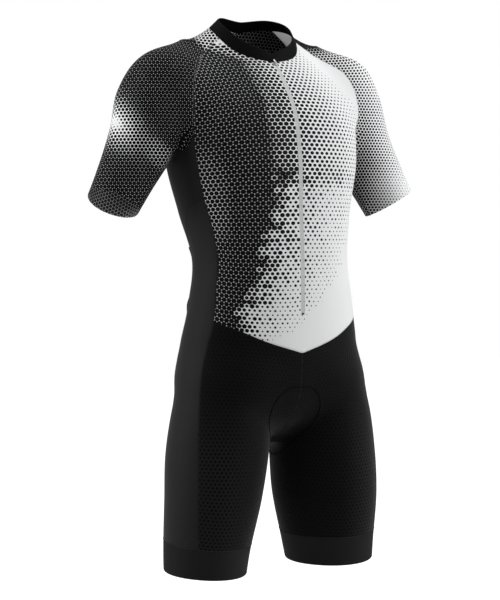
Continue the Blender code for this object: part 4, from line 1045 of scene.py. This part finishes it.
class Finish:
    """A node material being made. Its inputs are numbers, or values of its own nodes."""

    def __init__(self, name, roughness=0.7, sheen=0.0, metallic=0.0, gloss=CLOTH_GLOSS):
        self.material = bpy.data.materials.new(name)
        self.material.use_nodes = True
        self.tree = self.material.node_tree
        self.shader = self.tree.nodes["Principled BSDF"]
        self.shader.inputs["Roughness"].default_value = roughness
        self.shader.inputs["Sheen Weight"].default_value = sheen
        self.shader.inputs["Sheen Roughness"].default_value = SHEEN_ROUGHNESS
        self.shader.inputs["Specular IOR Level"].default_value = HARD_GLOSS if metallic else gloss
        self.shader.inputs["Metallic"].default_value = metallic

    def lit_through(self, share):
        self.shader.inputs["Subsurface Weight"].default_value = share
        self.shader.inputs["Subsurface Radius"].default_value = (1.0, 1.0, 1.0)
        self.shader.inputs["Subsurface Scale"].default_value = LIGHT_DEPTH

    def join(self, value, socket):
        if isinstance(value, Value):
            self.tree.links.new(value.socket, socket)
        elif value is not None:
            socket.default_value = value

    def node(self, kind, *inputs, output=0, **settings):
        made = self.tree.nodes.new("ShaderNode" + kind)
        for key, value in settings.items():
            setattr(made, key, value)
        for value, socket in zip(inputs, made.inputs):
            self.join(value, socket)
        return Value(self, made.outputs[output])

    def math(self, operation, *values):
        return self.node("Math", *values, operation=operation)

    def vector(self, operation, *values):
        output = int(operation in ("DISTANCE", "LENGTH"))
        return self.node("VectorMath", *values, output=output, operation=operation)

    def eased(self, value, low, high, start=0.0, end=1.0):
        """Goes smoothly from start to end as the value goes from low to high."""
        return self.node("MapRange", value, low, high, start, end, interpolation_type="SMOOTHSTEP")

    def curve(self, value, points):
        """Reads the smooth curve through the points at the value."""
        points = np.array(points, float)
        low, high = points.min(0), points.max(0)
        share = self.node("MapRange", value, low[0], high[0])
        read = self.node("FloatCurve", 1.0, share)
        mapping = read.socket.node.mapping
        line = mapping.curves[0]
        scaled = (points - low) / (high - low)
        for place in scaled[1:-1]:
            line.points.new(*place)
        for point, place in zip(line.points, scaled[np.argsort(scaled[:, 0])]):
            point.location = place
            point.handle_type = "AUTO_CLAMPED"
        mapping.update()
        return self.node("MapRange", read, 0.0, 1.0, low[1], high[1])

    def mixed(self, factor, first, second, kind="RGBA", start=6):
        """A colour, or a vector, between two others."""
        made = self.tree.nodes.new("ShaderNodeMix")
        made.data_type = kind
        for value, socket in ((factor, 0), (first, start), (second, start + 1)):
            self.join(value, made.inputs[socket])
        return Value(self, made.outputs[2 if kind == "RGBA" else 1])

    def map(self, name="cloth"):
        return self.node("UVMap", uv_map=name)

    def on_suit(self):
        """The place on the suit, in its own frame."""
        return self.node("TexCoord", output=3)

    def parts(self, vector):
        made = self.tree.nodes.new("ShaderNodeSeparateXYZ")
        self.join(vector, made.inputs[0])
        return [Value(self, output) for output in made.outputs]

    def noise(self, vector, scale, detail=2.0):
        return self.node("TexNoise", vector, None, scale, detail)

    def knit(self, place, wale=0.0006):
        """Height of a fine knit's surface: columns of small slanting loops."""
        u, v, _ = self.parts(place)
        ribs = self.math("ABSOLUTE", self.math("SINE", u * (np.pi / wale)))
        loops = self.math("SINE", v * (2 * np.pi / (wale * 0.8)) + ribs * 1.2)
        return ribs + loops * 0.3

    def finished(self, colour, height=None, rise=0.00005, strength=0.5):
        """Sets the colour, and the bump from a height that stands for that rise."""
        self.join(colour, self.shader.inputs["Base Color"])
        if height is not None:
            bump = self.tree.nodes.new("ShaderNodeBump")
            bump.inputs["Strength"].default_value = strength
            bump.inputs["Distance"].default_value = rise
            self.join(height, bump.inputs["Height"])
            self.tree.links.new(bump.outputs[0], self.shader.inputs["Normal"])
        return self.material


def grey(value):
    """A neutral colour of that linear value."""
    return (value, value, value, 1.0)


def tinted(value, red, green, blue):
    return (value * red, value * green, value * blue, 1.0)


def halftone(finish, place, pitch, radius_at):
    """1 on the dots of a hexagonal halftone.

    radius_at gives a dot's radius, in pitches, from its middle's place."""
    cell = (pitch, pitch * 3**0.5, 1.0)
    corner = (0.5, 0.5, 0.0)
    scaled = finish.vector("DIVIDE", place, cell)
    whole = finish.vector("FLOOR", finish.vector("ADD", scaled, corner))
    half = finish.vector("ADD", finish.vector("FLOOR", scaled), corner)
    middles = [finish.vector("MULTIPLY", step, cell) for step in (whole, half)]
    to_first, to_second = (finish.vector("DISTANCE", place, middle) for middle in middles)
    nearer = finish.math("LESS_THAN", to_second, to_first)
    radius = radius_at(finish, finish.mixed(nearer, *middles, "VECTOR", 4)) * pitch
    return finish.eased(radius - to_first.at_most(to_second), -DOT_EDGE * pitch, DOT_EDGE * pitch)


def jittered(finish, radius, middle, amount):
    """Varies each dot's radius at random by up to half that share either way."""
    by_chance = finish.node("TexWhiteNoise", finish.vector("MULTIPLY", middle, DOT_SPREAD))
    return finish.math("MULTIPLY", radius, (by_chance - 0.5) * amount + 1.0)


def near(finish, place, low, high, start, end):
    """Goes from start to end with the distance from a place on the suit."""
    return finish.eased(finish.vector("DISTANCE", finish.on_suit(), place), low, high, start, end)


def front_radius(finish, middle):
    """Dots that merge on the wearer's right and shrink past an uneven edge, to bare cloth on the left."""
    u, v, _ = finish.parts(middle)
    row = finish.node("TexWhiteNoise", None, v * ROW_SPREAD, noise_dimensions="1D")
    low_part = finish.eased(v, -0.19, -0.24)
    edge = finish.curve(v, FRONT_EDGE) + (row - 0.5) * (low_part * 0.020)
    share = (u - edge) / finish.curve(v, FRONT_FADE)
    lower = finish.curve(share, LOW_TONE) + finish.eased(v, -0.25, -0.17, 0.0, 0.6)
    near_collar = finish.eased(v + (u + 0.064) * 0.75, 0.006, 0.020, 0.60, 0.435)
    by_side = finish.curve(u, FRONT_SIDE_TONE)
    by_side += finish.eased(v, -0.24, -0.12, 0.0, 0.04) + finish.eased(v, -0.29, -0.36, 0.0, 0.03)
    radius = finish.curve(share, FRONT_TONE).at_most(lower).at_most(near_collar.at_most(by_side))
    radius = radius.at_most(near(finish, RAGLAN_TOP, 0.008, 0.026, 0.12, 0.60))
    past = finish.eased(share, -0.03, 0.05) * (low_part + 0.12)
    return jittered(finish, radius, middle, past * 0.55)


def back_radius(finish, middle):
    """Dots that merge nearly everywhere on the back and shrink towards its lower left side."""
    u, v, _ = finish.parts(middle)
    return jittered(finish, finish.eased(u + v * -0.35, 0.24, 0.38, 0.512, 0.34), middle, 0.02)


def right_sleeve_radius(finish, middle):
    """Merged dots with a bare burst on the outer side, and a lighter band across from it."""
    u, v, _ = finish.parts(middle)
    past_u, past_v, _ = finish.parts(finish.vector("SUBTRACT", middle, (*BURST, 0.0)))
    along = (past_u - past_v) * (BURST_DRAWN / 2**0.5)
    aside = (past_u + past_v) * (1 / 2**0.5)
    from_burst = finish.vector("LENGTH", finish.node("CombineXYZ", along, aside))
    by_collar = finish.eased(u + v, -0.105, -0.080, 0.60, 0.41) + finish.eased(v, -0.07, -0.11, 0.0, 0.20)
    band = finish.curve(v + u * 0.75, BAND_TONE)
    radius = finish.curve(from_burst, BURST_TONE).at_most(band.at_most(by_collar))
    radius += near(finish, UNDERARM, 0.015, 0.035, 0.03, 0.0)
    return jittered(finish, radius, middle, 0.015)


def inside_radius(finish, middle):
    """Even dots, as the far side of the print shows through."""
    return jittered(finish, 0.483, middle, 0.03)


def left_sleeve_radius(finish, middle):
    """Dots that merge by the collar and shrink towards the outer side and the raglan seam."""
    u, v, _ = finish.parts(middle)
    outward = u + v * 0.33
    by_collar = finish.eased(v, -0.022, 0.002, 0.0, 0.14) - finish.eased(v, -0.12, -0.06, 0.0, 0.03)
    low_down = finish.eased(v, -0.215, -0.270, 0.0, 0.10) * finish.eased(outward, 0.10, 0.14)
    return jittered(finish, finish.curve(outward, OUTER_TONE) + by_collar - low_down, middle, 0.06)


def printed(name, pitch, radius_at, light=0.80, dark=0.003, through=0.0, taped=False):
    """White knit with a black halftone. through is how much of its light comes from the cloth's other face.

    taped leaves out the dots in a grey edge beside the zip."""
    finish = Finish(name, roughness=0.62, gloss=0.05)
    finish.lit_through(through)
    mask = halftone(finish, finish.map("print"), pitch, radius_at)
    place = finish.map()
    mottle = finish.noise(place, 400.0)
    white = finish.mixed(mottle, grey(light * 0.97), grey(light))
    black = finish.mixed(mottle, tinted(dark, 1.0, 1.0, 1.04), grey(dark * 1.5))
    colour = finish.mixed(mask, white, black)
    if taped:
        across, _, height = finish.parts(finish.on_suit())
        edge = finish.eased(finish.math("ABSOLUTE", across), TAPED_EDGE, TAPED_EDGE + 0.0004, 1.0, 0.0)
        edge *= finish.math("GREATER_THAN", height, ZIP_END_HEIGHT)
        colour = finish.mixed(edge, colour, grey(TAPED_TONE))
    return finish.finished(colour, finish.knit(place))


def plain_knit(name, light, dark, wale=0.0006, sheen=0.03, through=0.0, gloss=CLOTH_GLOSS):
    """Plain dyed knit with a slight mottle."""
    finish = Finish(name, roughness=0.58, sheen=sheen, gloss=gloss)
    finish.lit_through(through)
    place = finish.map()
    mottle = finish.noise(place, 260.0, 4.0)
    return finish.finished(finish.mixed(mottle, grey(dark), grey(light)), finish.knit(place, wale))


def dimpled_knit(name):
    """Black knit with rows of small round dimples, drawn darker in the dimples as painted shade and lighter
    towards the thighs' outer sides as painted light.
    """
    finish = Finish(name, roughness=0.60, sheen=0.19, gloss=0.04)
    finish.shader.inputs["Sheen Roughness"].default_value = 0.35
    place = finish.map()
    dimple = halftone(finish, place, DIMPLE_PITCH, lambda f, m: jittered(f, 0.30, m, 0.05))
    mottle = finish.noise(place, 260.0, 4.0)
    ground = finish.mixed(mottle, grey(0.0042), grey(0.0062))
    across, _, height = finish.parts(finish.on_suit())
    # Painted light: the ground turns lighter towards the thighs' outer sides, standing in for the side lamps'
    # light there.
    outer = finish.eased(finish.math("ABSOLUTE", across), *PAINTED_SIDE_LIGHT_REACH)
    ground = finish.mixed(outer * finish.eased(height, *PAINTED_SIDE_LIGHT_HEIGHTS), ground, grey(PAINTED_SIDE_LIGHT_TONE))
    # Painted shade: the dimples are drawn darker than the ground, standing in for the shade in their hollows.
    colour = finish.mixed(dimple, ground, grey(0.0024))
    return finish.finished(colour, finish.knit(place) * 0.15 - dimple, 0.00025, 0.6)


def foam(name):
    finish = Finish(name, roughness=0.8, sheen=0.2)
    place = finish.on_suit()
    cells = finish.node("TexVoronoi", place, None, 900.0)
    mottle = finish.noise(place, 120.0)
    return finish.finished(finish.mixed(mottle, grey(0.035), grey(0.05)), cells, 0.0002)


def thread(name, light, dark):
    finish = Finish(name, roughness=0.7)
    place = finish.on_suit()
    twist = finish.noise(place, 2600.0)
    return finish.finished(finish.mixed(twist, grey(dark), grey(light)), twist, 0.00005)


def hard(name, light, dark, roughness, metallic):
    """Moulded or cast stuff with fine grain and slightly uneven gloss."""
    finish = Finish(name, roughness=roughness, metallic=metallic)
    place = finish.on_suit()
    grain = finish.noise(place, 1800.0, 3.0)
    wear = finish.noise(place, 300.0, 3.0)
    worn = finish.eased(wear, 0.3, 0.7, roughness * 0.8, roughness * 1.2)
    finish.join(worn, finish.shader.inputs["Roughness"])
    return finish.finished(finish.mixed(wear, grey(dark), grey(light)), grain, 0.00003)


# ---------------------------------------------------------------- repeated small pieces
def lines_object(lines):
    """A helper mesh with each line as a run of edges, which keeps its surface's normals."""
    points = np.concatenate([line for line, _ in lines])
    facing = np.concatenate([normal for _, normal in lines])
    edges = []
    start = 0
    for line, _ in lines:
        edges += [(start + k, start + k + 1) for k in range(len(line) - 1)]
        start += len(line)
    mesh = bpy.data.meshes.new("guide")
    mesh.from_pydata(points.tolist(), edges, [])
    kept = mesh.attributes.new("facing", "FLOAT_VECTOR", "POINT")
    kept.data.foreach_set("vector", facing.ravel())
    made = bpy.data.objects.new("guide", mesh)
    bpy.context.scene.collection.objects.link(made)
    return made


class Group:
    """A Geometry Nodes group being made, with named inputs."""

    def __init__(self, name, **inputs):
        self.tree = bpy.data.node_groups.new(name, "GeometryNodeTree")
        new_socket = self.tree.interface.new_socket
        for way in ("OUTPUT", "INPUT"):
            new_socket("Geometry", in_out=way, socket_type="NodeSocketGeometry")
        self.sockets = {}
        for label in inputs:
            made = new_socket(label.title(), in_out="INPUT", socket_type="NodeSocketFloat")
            self.sockets[label] = made.identifier
        self.values = inputs
        self.start = self.tree.nodes.new("NodeGroupInput")
        self.end = self.tree.nodes.new("NodeGroupOutput")

    def input(self, label):
        return self.start.outputs[label.title()]

    def node(self, kind, inputs, output=0, **settings):
        made = self.tree.nodes.new(kind)
        for key, value in settings.items():
            setattr(made, key, value)
        for key, value in inputs.items():
            if isinstance(value, bpy.types.NodeSocket):
                self.tree.links.new(value, made.inputs[key])
            else:
                made.inputs[key].default_value = value
        return made.outputs[output]


def stitches_along(name, lines, finish, row, across=False):
    """A row of small round-ended threads at equal distances along the lines, as one mesh."""
    length, thickness, pitch = row
    group = Group(name, pitch=pitch, length=length, thickness=thickness)
    curve = group.node("GeometryNodeMeshToCurve", {0: group.start.outputs[0]})
    pitch, length, thickness = (group.input(label) for label in ("pitch", "length", "thickness"))
    even = group.node("GeometryNodeResampleCurve", {"Curve": curve, "Length": pitch}, mode="LENGTH")
    ball = group.node("GeometryNodeMeshUVSphere", {"Segments": 5, "Rings": 3, "Radius": 0.5})
    size = group.node("ShaderNodeCombineXYZ", {"X": thickness, "Y": thickness, "Z": length})
    thread_shape = group.node("GeometryNodeTransform", {"Geometry": ball, "Scale": size})
    smooth = group.node("GeometryNodeSetShadeSmooth", {0: thread_shape})
    facing = group.node("GeometryNodeInputNamedAttribute", {"Name": "facing"}, data_type="FLOAT_VECTOR")
    tangent = group.node("GeometryNodeInputTangent", {})
    way = tangent
    if across:
        way = group.node("ShaderNodeVectorMath", {0: facing, 1: tangent}, operation="CROSS_PRODUCT")
    align = "FunctionNodeAlignRotationToVector"
    first = group.node(align, {"Vector": way}, axis="Z")
    turn = group.node(align, {"Rotation": first, "Vector": facing}, axis="X", pivot_axis="Z")
    inputs = {"Points": even, "Instance": smooth, "Rotation": turn}
    real = group.node("GeometryNodeRealizeInstances", {0: group.node("GeometryNodeInstanceOnPoints", inputs)})
    done = group.node("GeometryNodeSetMaterial", {"Geometry": real, "Material": finish})
    group.tree.links.new(done, group.end.inputs[0])
    guide = lines_object(lines)
    modifier = guide.modifiers.new("stitches", "NODES")
    modifier.node_group = group.tree
    for label, value in group.values.items():
        modifier[group.sockets[label]] = value
    graph = bpy.context.evaluated_depsgraph_get()
    mesh = bpy.data.meshes.new_from_object(guide.evaluated_get(graph))
    bpy.data.objects.remove(guide, do_unlink=True)
    made = bpy.data.objects.new(name, mesh)
    bpy.context.scene.collection.objects.link(made)
    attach(made, "suit")


def beside(line, offset=0.0):
    """A line moved sideways along the body's surface, with its normals."""
    along = np.gradient(line, axis=0)
    normals = normals_at(line)
    across = np.cross(normals, along)
    across /= np.linalg.norm(across, axis=1, keepdims=True)
    moved = settled(line + across * offset, 2)
    return moved, normals_at(moved)


# ---------------------------------------------------------------- cloth of the suit
TIMES = 5  # of each coarse stretch, for the true seams
SIDES = ("right", "left")


def turned_to(side):
    """Brings the right side's points to that side."""
    return np.array if side == "right" else mirrored


def sleeve(side, coarse, true):
    """One sleeve, open at the cuff and joined to itself under the arm."""
    turn = turned_to(side)
    fronts, backs = (
        [turn(joined(s[f"raglan_{face}"], s[f"armhole_{face}"], s["underarm"])) for s in (coarse, true)]
        for face in ("front", "back")
    )
    rows, quarter = len(fronts[0]) - 1, SLEEVE_ACROSS // 4
    places = np.linspace(0, SLEEVE_TOP_STEPS, SLEEVE_ACROSS + 1)
    top, cuff = through(coarse["neck_sleeve"], places), coarse["cuff"]
    guides = []
    for i, line in enumerate((SLEEVE_FRONT, SLEEVE_CROWN, SLEEVE_BACK), 1):
        (guide,) = seam([top[i * quarter], *line, cuff[i * quarter]], rows, len(line) + 1)
        guides.append(turn(guide))
    grid = patch(turn(top), turn(cuff), fronts[0], backs[0], guides)
    places = np.linspace(0, SLEEVE_TOP_STEPS * TIMES, SLEEVE_ACROSS * TIMES + 1)
    edges = (turn(through(true["neck_sleeve"], places)), turn(true["cuff"]), fronts[1], backs[1])
    finish = (finishes[f"sleeve_{side}"], finishes[f"sleeve_{side}_inside"])
    panel(f"sleeve_{side}", grid, edges, finish, placed_print(grid), ("bottom",))


def fronts(coarse, true):
    """Both fronts. Their print is laid out as one, so that its rows carry on across the zip."""
    def edges_of(s):
        side_line = joined(s["raglan_front"], s["side_front_upper"], s["side_front_middle"])
        return s["neck_front"], s["waist_front"], s["zip"], side_line

    grid = patch(*edges_of(coarse))
    both = np.concatenate((grid[:, ::-1], mirrored(grid)), 1)
    flat = laid_out(both, front_print, both[..., :2])
    middle = grid.shape[1]
    flat -= (flat[0, middle - 1] + flat[0, middle]) / 2
    for side, part in (("right", flat[:, middle - 1 :: -1]), ("left", flat[:, middle:])):
        turn = turned_to(side)
        edges = [turn(line) for line in edges_of(true)]
        finish = (finishes["front"], finishes["front_inside"])
        panel(f"front_{side}", turn(grid), edges, finish, part, flush_sides=("left",))


def plain_panels(side, coarse, true):
    """The side panels and the shorts of one side."""
    turn = turned_to(side)

    def edges_of(s):
        armhole = joined(s["armhole_front"], s["armhole_back"][::-1])
        yield "side_upper", armhole, s["arc"], s["side_front_upper"], s["side_back_upper"]
        side_lines = (joined(s[f"side_{face}_middle"], s[f"side_{face}_lower"]) for face in ("front", "back"))
        yield "side_lower", s["arc"], s["band_side"][::-1], *side_lines
        front, back = joined(s["centre_front"], s["inseam"]), joined(s["centre_back"], s["inseam"])
        yield "shorts_front", s["waist_front"], s["band_front"][::-1], front, s["side_front_lower"]
        yield "shorts_back", s["waist_back"][::-1], s["band_back"], back, s["side_back_lower"]

    for (name, *rough), (_, *edges) in zip(edges_of(coarse), edges_of(true)):
        dimpled = name.startswith("shorts")
        finish = finishes["dimpled"] if dimpled else finishes["black"]
        grid = patch(*(turn(line) for line in rough))
        panel(f"{name}_{side}", grid, [turn(line) for line in edges], finish)


def ring_shell(name, grid, facing, thickness, finish, dips, open_ends):
    """A closed ring of cloth from rows of points, its ends rounded where they are open.

    dips and open_ends go from its first row to its last."""
    height = from_sides(grid)
    dip, rise = 0, 0
    for distance, depth, is_open in zip(height[:2], dips, open_ends):
        dip = np.maximum(dip, bend_down(distance, depth))
        if is_open:
            rise = np.maximum(rise, bend_down(distance, thickness * EDGE_ROUND))
    outer = grid - facing * np.expand_dims(dip, -1)
    inner = grid - facing * np.expand_dims(thickness - (rise + 0 * dip), -1)
    around = np.linalg.norm(np.roll(grid, -1, 1) - grid, axis=2).mean(0).cumsum()
    maps = np.zeros((grid.shape[0], grid.shape[1] + 1, 2))
    maps[..., 0] = np.concatenate(([0.0], around))
    down = height[0].mean(1)
    maps[..., 1] = -down[:, None]
    made = shell(f"cloth_{name}", outer, inner, maps, finish, closed=True)
    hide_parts(name)
    return made


def leg_band(side):
    """The plain band round the end of a leg."""
    count = int(LEG_ROUND / FINE)
    ends = [
        leg_ring(name, SIDE_FRONT_ANGLE, SIDE_FRONT_ANGLE + 360.0, count)[:-1] for name in ("band", "hem")
    ]
    share = np.sort(np.concatenate((np.linspace(0, 1, 12), BAND_LIPS, 1 - BAND_LIPS)))[:, None, None]
    grid = turned_to(side)((1 - share) * ends[0] + share * ends[1])
    grid[1:-1] = settled(grid[1:-1], 3)
    down = grid[1] - grid[0]
    grid[0] += SEAM_GAP * down / np.linalg.norm(down, axis=1, keepdims=True)
    ring_shell(
        f"leg_band_{side}", grid, normals_at(grid), BAND_CLOTH, finishes["band"],
        (SEAM_DIP, BAND_CLOTH * EDGE_ROUND), (False, True),
    )


def collar():
    """The doubled band round the neck, rolled over at its upper edge."""
    angles = np.linspace(-180.0, 180.0, 145)[:-1]
    lower = settled(collar_ring(angles, COLLAR_LOWER, COLLAR[:, 1]))
    upper = collar_ring(angles, COLLAR_UPPER, COLLAR[:, 2])
    rise = upper - lower
    height = np.linalg.norm(rise, axis=1, keepdims=True)
    share = COLLAR_ROWS[::-1, None, None]
    grid = lower + rise * (SEAM_GAP / height + (1 - SEAM_GAP / height) * share)
    around = np.roll(lower, -1, 0) - np.roll(lower, 1, 0)
    outward = np.cross(around, rise)
    outward /= np.linalg.norm(outward, axis=1, keepdims=True)
    blend = np.clip(share / 0.5, 0, 1)
    facing = normals_at(lower) * (1 - blend) + outward * blend
    facing /= np.linalg.norm(facing, axis=2, keepdims=True)
    ring_shell(
        "collar", grid, facing, COLLAR_CLOTH, finishes["collar"],
        (COLLAR_CLOTH * EDGE_ROUND, SEAM_DIP), (True, False),
    )


def back_and_pocket(coarse, true):
    """The back in one piece, and the patch pocket on its lower part."""
    def edges_of(s, times):
        side_line = joined(s["raglan_back"], s["side_back_upper"], s["side_back_middle"])
        half = HALF_BACK_ACROSS * times
        neck = neck_edge(-RAGLAN_BACK_ANGLE, -360.0 + RAGLAN_BACK_ANGLE, 2 * half)
        neck[half:] = mirrored(neck[half::-1])
        neck[half, 0] = 0.0
        waist = joined(s["waist_back"], mirrored(s["waist_back"][::-1]))
        return neck, waist, side_line, mirrored(side_line)

    grid = patch(*edges_of(coarse, 1))
    edges = edges_of(true, TIMES)
    flat = laid_flat(grid)
    printed_map = (flat - flat[0, HALF_BACK_ACROSS]) / BACK_STRETCH
    panel("back", grid, edges, (finishes["back"], finishes["back_inside"]), printed_map)

    first = int(np.argmin(np.abs(grid[:, HALF_BACK_ACROSS, 2] - POCKET_TOP_HEIGHT)))
    part = grid[first:]
    stand_off = np.full((*part.shape[:2], 1), SEAM_GAP)
    stand_off[0] = POCKET_MOUTH_GAP
    stand_off[-2] = POCKET_FOOT_GAP
    flat = laid_flat(part)
    edges = (spread(part[0], TIMES), edges[1], edges[2][first * TIMES :], edges[3][first * TIMES :])
    fine, maps = fine_panel(part, edges, (flat, stand_off, 0 * stand_off))
    normals = normals_at(fine)
    gap = np.maximum(maps[..., 2:3], SEAM_GAP)
    inner = inset_edges(fine, normals, ("left", "right", "bottom"), SEAM_GAP) + normals * gap
    dip = 0
    for distance in from_sides(fine):
        dip = np.maximum(dip, bend_down(distance, POCKET_CLOTH * 0.5))
    outer = inner + normals * (POCKET_CLOTH - np.expand_dims(dip, -1))
    made = shell("cloth_back_pocket", outer, inner, maps[..., :2], finishes["black"])
    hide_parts("back_pocket")


def seat_pad():
    """The moulded foam pad under the crotch seams, domed and thinning to its edge."""
    rows, columns = 72, 24
    share = (1 - np.cos(np.linspace(0, np.pi, rows + 1))) / 2
    line = resampled(settled(smooth_line(PAD_LINE)), 400)
    middle = settled(through(line, share * 400))
    half = np.maximum(column(share, PAD_SHAPE[:, 0], PAD_SHAPE[:, 1]), 0.006)
    grid = np.zeros((rows + 1, columns + 1, 3))
    grid[:, columns // 2] = middle
    stride = half / (columns // 2)
    for way in (-1, 1):
        for k in range(columns // 2):
            here = grid[:, columns // 2 + way * k]
            normal = normals_at(here)
            along = np.gradient(here, axis=0)
            sideways = np.cross(normal, along)
            sideways *= way * np.sign(sideways[:, :1]) / np.linalg.norm(sideways, axis=1, keepdims=True)
            grid[:, columns // 2 + way * (k + 1)] = settled(here + sideways * stride[:, None], 3)
    normals = normals_at(grid)
    edge = np.minimum.reduce(from_sides(grid))
    body = np.sqrt(np.clip(1 - (1 - np.clip(edge / PAD_EDGE, 0, 1)) ** 2, 0, 1))
    aside, half_width, depth = PAD_GROOVE
    groove = np.exp(-((np.abs(grid[..., 0]) - aside) / half_width) ** 2) * np.clip(edge / 0.02 - 0.6, 0, 1)
    thick = PAD_THICKNESS * (PAD_LEAST + (1 - PAD_LEAST) * body) - depth * groove
    outer = grid - normals * (WALL + PAD_CLEARANCE)
    inner = outer - normals * thick[..., None]
    flat = np.stack([grid[..., 0], -share[:, None] * PAD_LENGTH + 0 * grid[..., 0]], -1)
    made = shell("foam_seat_pad", outer, inner, flat, finishes["foam"])
    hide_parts("seat_pad")
    return grid


# ---------------------------------------------------------------- closing the front
def zip_chain(true):
    """The zip's tape between the fronts and its two rows of coil teeth."""
    middle = true["zip"][: -4 * TIMES] * (0.0, 1.0, 1.0)
    across = np.concatenate((-TAPE_PLACES[::-1], TAPE_PLACES[1:]))
    lines = settled(np.stack([middle + (x, 0.0, 0.0) for x in across], 1))
    normals = normals_at(lines)
    sink = np.concatenate((TAPE_SINKS[::-1], TAPE_SINKS[1:]))[None, :, None]
    outer = inset_edges(lines, normals, ("top",), SEAM_GAP) - normals * sink
    inner = outer - normals * TAPE_CLOTH
    reach = np.pad(np.linalg.norm(np.diff(middle, axis=0), axis=1).cumsum(), (1, 0))
    maps = np.stack([lines[..., 0], -reach[:, None] + 0 * lines[..., 0]], -1)
    made = shell("tape_zip", outer, inner, maps, finishes["tape"])
    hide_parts("zip_strip")
    start = int(np.searchsorted(reach, SLIDER_DROP * 0.4))
    coil = middle[start:]
    facing = normals_at(coil)
    along = np.diff(coil, axis=0)
    _, thickness, pitch = TEETH
    for name, offset, shift in (("right", -TEETH_ASIDE, 0.0), ("left", TEETH_ASIDE, 0.5)):
        line = coil + (offset, 0.0, 0.0)
        line[:-1] += along / np.linalg.norm(along, axis=1)[:, None] * pitch * shift
        lifted = line + facing * (TEETH_PROUD - thickness / 2)
        stitches_along(f"zip_teeth_{name}", [(lifted, facing)], finishes["teeth"], TEETH, True)


def seam_stitches(true):
    """Two rows of thread along every seam, one on each side of it, and one close row down the middle."""
    for name, seams_of, finish in (
        ("raglans", "raglan_front raglan_back", "grey_thread"),
        (
            "waist_and_armholes", "waist_front waist_back arc armhole_front armhole_back underarm",
            "black_thread",
        ),
        ("sides", "side_front_upper side_front_middle side_back_upper side_back_middle", "black_thread"),
        ("shorts", "side_front_lower side_back_lower inseam", "black_thread"),
    ):
        lines = []
        for side in SIDES:
            for label in seams_of.split():
                line = turned_to(side)(true[label])
                lines += [beside(line, way * STITCH_OFFSET) for way in (-1, 1)]
        stitches_along(f"stitching_{name}", lines, finishes[finish], STITCHES)
    lines = [beside(true[label]) for label in ("centre_front", "centre_back")]
    stitches_along("stitching_centre", lines, finishes["centre_thread"], COVER)


def ring_stitches():
    """Thread round the legs, in the bands' seams and near their ends."""
    lines, seam_lines = [], []
    for side in SIDES:
        turn = turned_to(side)
        ring, hem = (
            leg_ring(name, SIDE_FRONT_ANGLE, SIDE_FRONT_ANGLE + 360.0, 160) for name in ("band", "hem")
        )
        seam_lines.append(beside(turn(ring)))
        lines.append(beside(turn(settled(hem * (1 - HEM_ROW_SHARE) + ring * HEM_ROW_SHARE))))
    stitches_along("stitching_legs", lines, finishes["black_thread"], STITCHES)
    stitches_along("stitching_bands", seam_lines, finishes["centre_thread"], COVER)


def pad_stitches(grid):
    """The line of close stitching that holds the pad, seen on the outside of the shorts; its thread is drawn
    near black, also as painted shade of a groove along the pad's edge.
    """
    rim = np.concatenate((grid[:, 0], grid[-1, 1:], grid[::-1, -1][1:], grid[0, ::-1][1:]))
    rim = resampled(rim, 220)[:-1]
    for _ in range(30):
        rim = (np.roll(rim, 1, 0) + np.roll(rim, -1, 0)) / 2
    rim = settled(np.concatenate((rim, rim[:1])), 3)
    stitches_along("stitching_pad", [beside(rim)], finishes["groove_shade_thread"], PAD_ROW)


finishes = {
    "front": printed("black halftone on white knit, front", FRONT_PITCH, front_radius, taped=True),
    "front_inside": printed("wrong side of the printed front", FRONT_PITCH, front_radius, 0.70, 0.02),
    "back": printed("black halftone on white knit, back", FRONT_PITCH, back_radius, 0.60),
    "back_inside": printed("wrong side of the printed back", FRONT_PITCH * 0.72, inside_radius, 0.36, 0.004),
    # Painted light: the right sleeve's white is 0.90, whiter than the other printed panels, standing in for
    # the side lamp's light on it.
    "sleeve_right": printed(
        "black halftone on white knit, right sleeve", RIGHT_SLEEVE_PITCH, right_sleeve_radius, 0.90
    ),
    "sleeve_right_inside": printed(
        "wrong side of the right sleeve", RIGHT_SLEEVE_PITCH, inside_radius, 0.90, 0.040, 0.8
    ),
    "sleeve_left": printed(
        "black halftone on white knit, left sleeve", LEFT_SLEEVE_PITCH, left_sleeve_radius
    ),
    "sleeve_left_inside": plain_knit("wrong side of the left sleeve", 0.80, 0.76, through=1.0),
    "black": plain_knit("smooth black knit", 0.014, 0.010, sheen=0.13),
    "band": plain_knit("black band knit", 0.010, 0.008, 0.0009, 0.01),
    "dimpled": dimpled_knit("dimpled black knit"),
    "collar": plain_knit("black collar knit", 0.0040, 0.0030, 0.0009, 0.0, gloss=0.04),
    "foam": foam("covered black foam"),
    "tape": plain_knit("grey woven zip tape", 0.62, 0.56, 0.0005),
    "teeth": hard("grey moulded coil", 0.60, 0.54, 0.50, 0.0),
    "black_thread": thread("black thread", 0.012, 0.008),
    # Painted shade: real dark stitching, drawn near black to stand in for the shade of the groove along the
    # pad's edge.
    "groove_shade_thread": thread("near-black pad thread with painted groove shade", 0.0010, 0.0005),
    "centre_thread": thread("dark grey thread", 0.030, 0.022),
    "grey_thread": thread("grey thread", 0.30, 0.22),
    "slider": hard("bright cast metal", 0.62, 0.50, 0.30, 1.0),
    "stop": hard("black moulded plastic", 0.02, 0.012, 0.45, 0.0),
}
for name, finish in (("zip_slider", "slider"), ("zip_pull", "slider"), ("zip_stop", "stop")):
    nodes[name].data.materials.clear()
    nodes[name].data.materials.append(finishes[finish])

rough_seams, true_seams = right_seams(), right_seams(TIMES)
fronts(rough_seams, true_seams)
for side in SIDES:
    sleeve(side, rough_seams, true_seams)
    plain_panels(side, rough_seams, true_seams)
    leg_band(side)
back_and_pocket(rough_seams, true_seams)
collar()
pad_grid = seat_pad()
zip_chain(true_seams)
seam_stitches(true_seams)
ring_stitches()
pad_stitches(pad_grid)
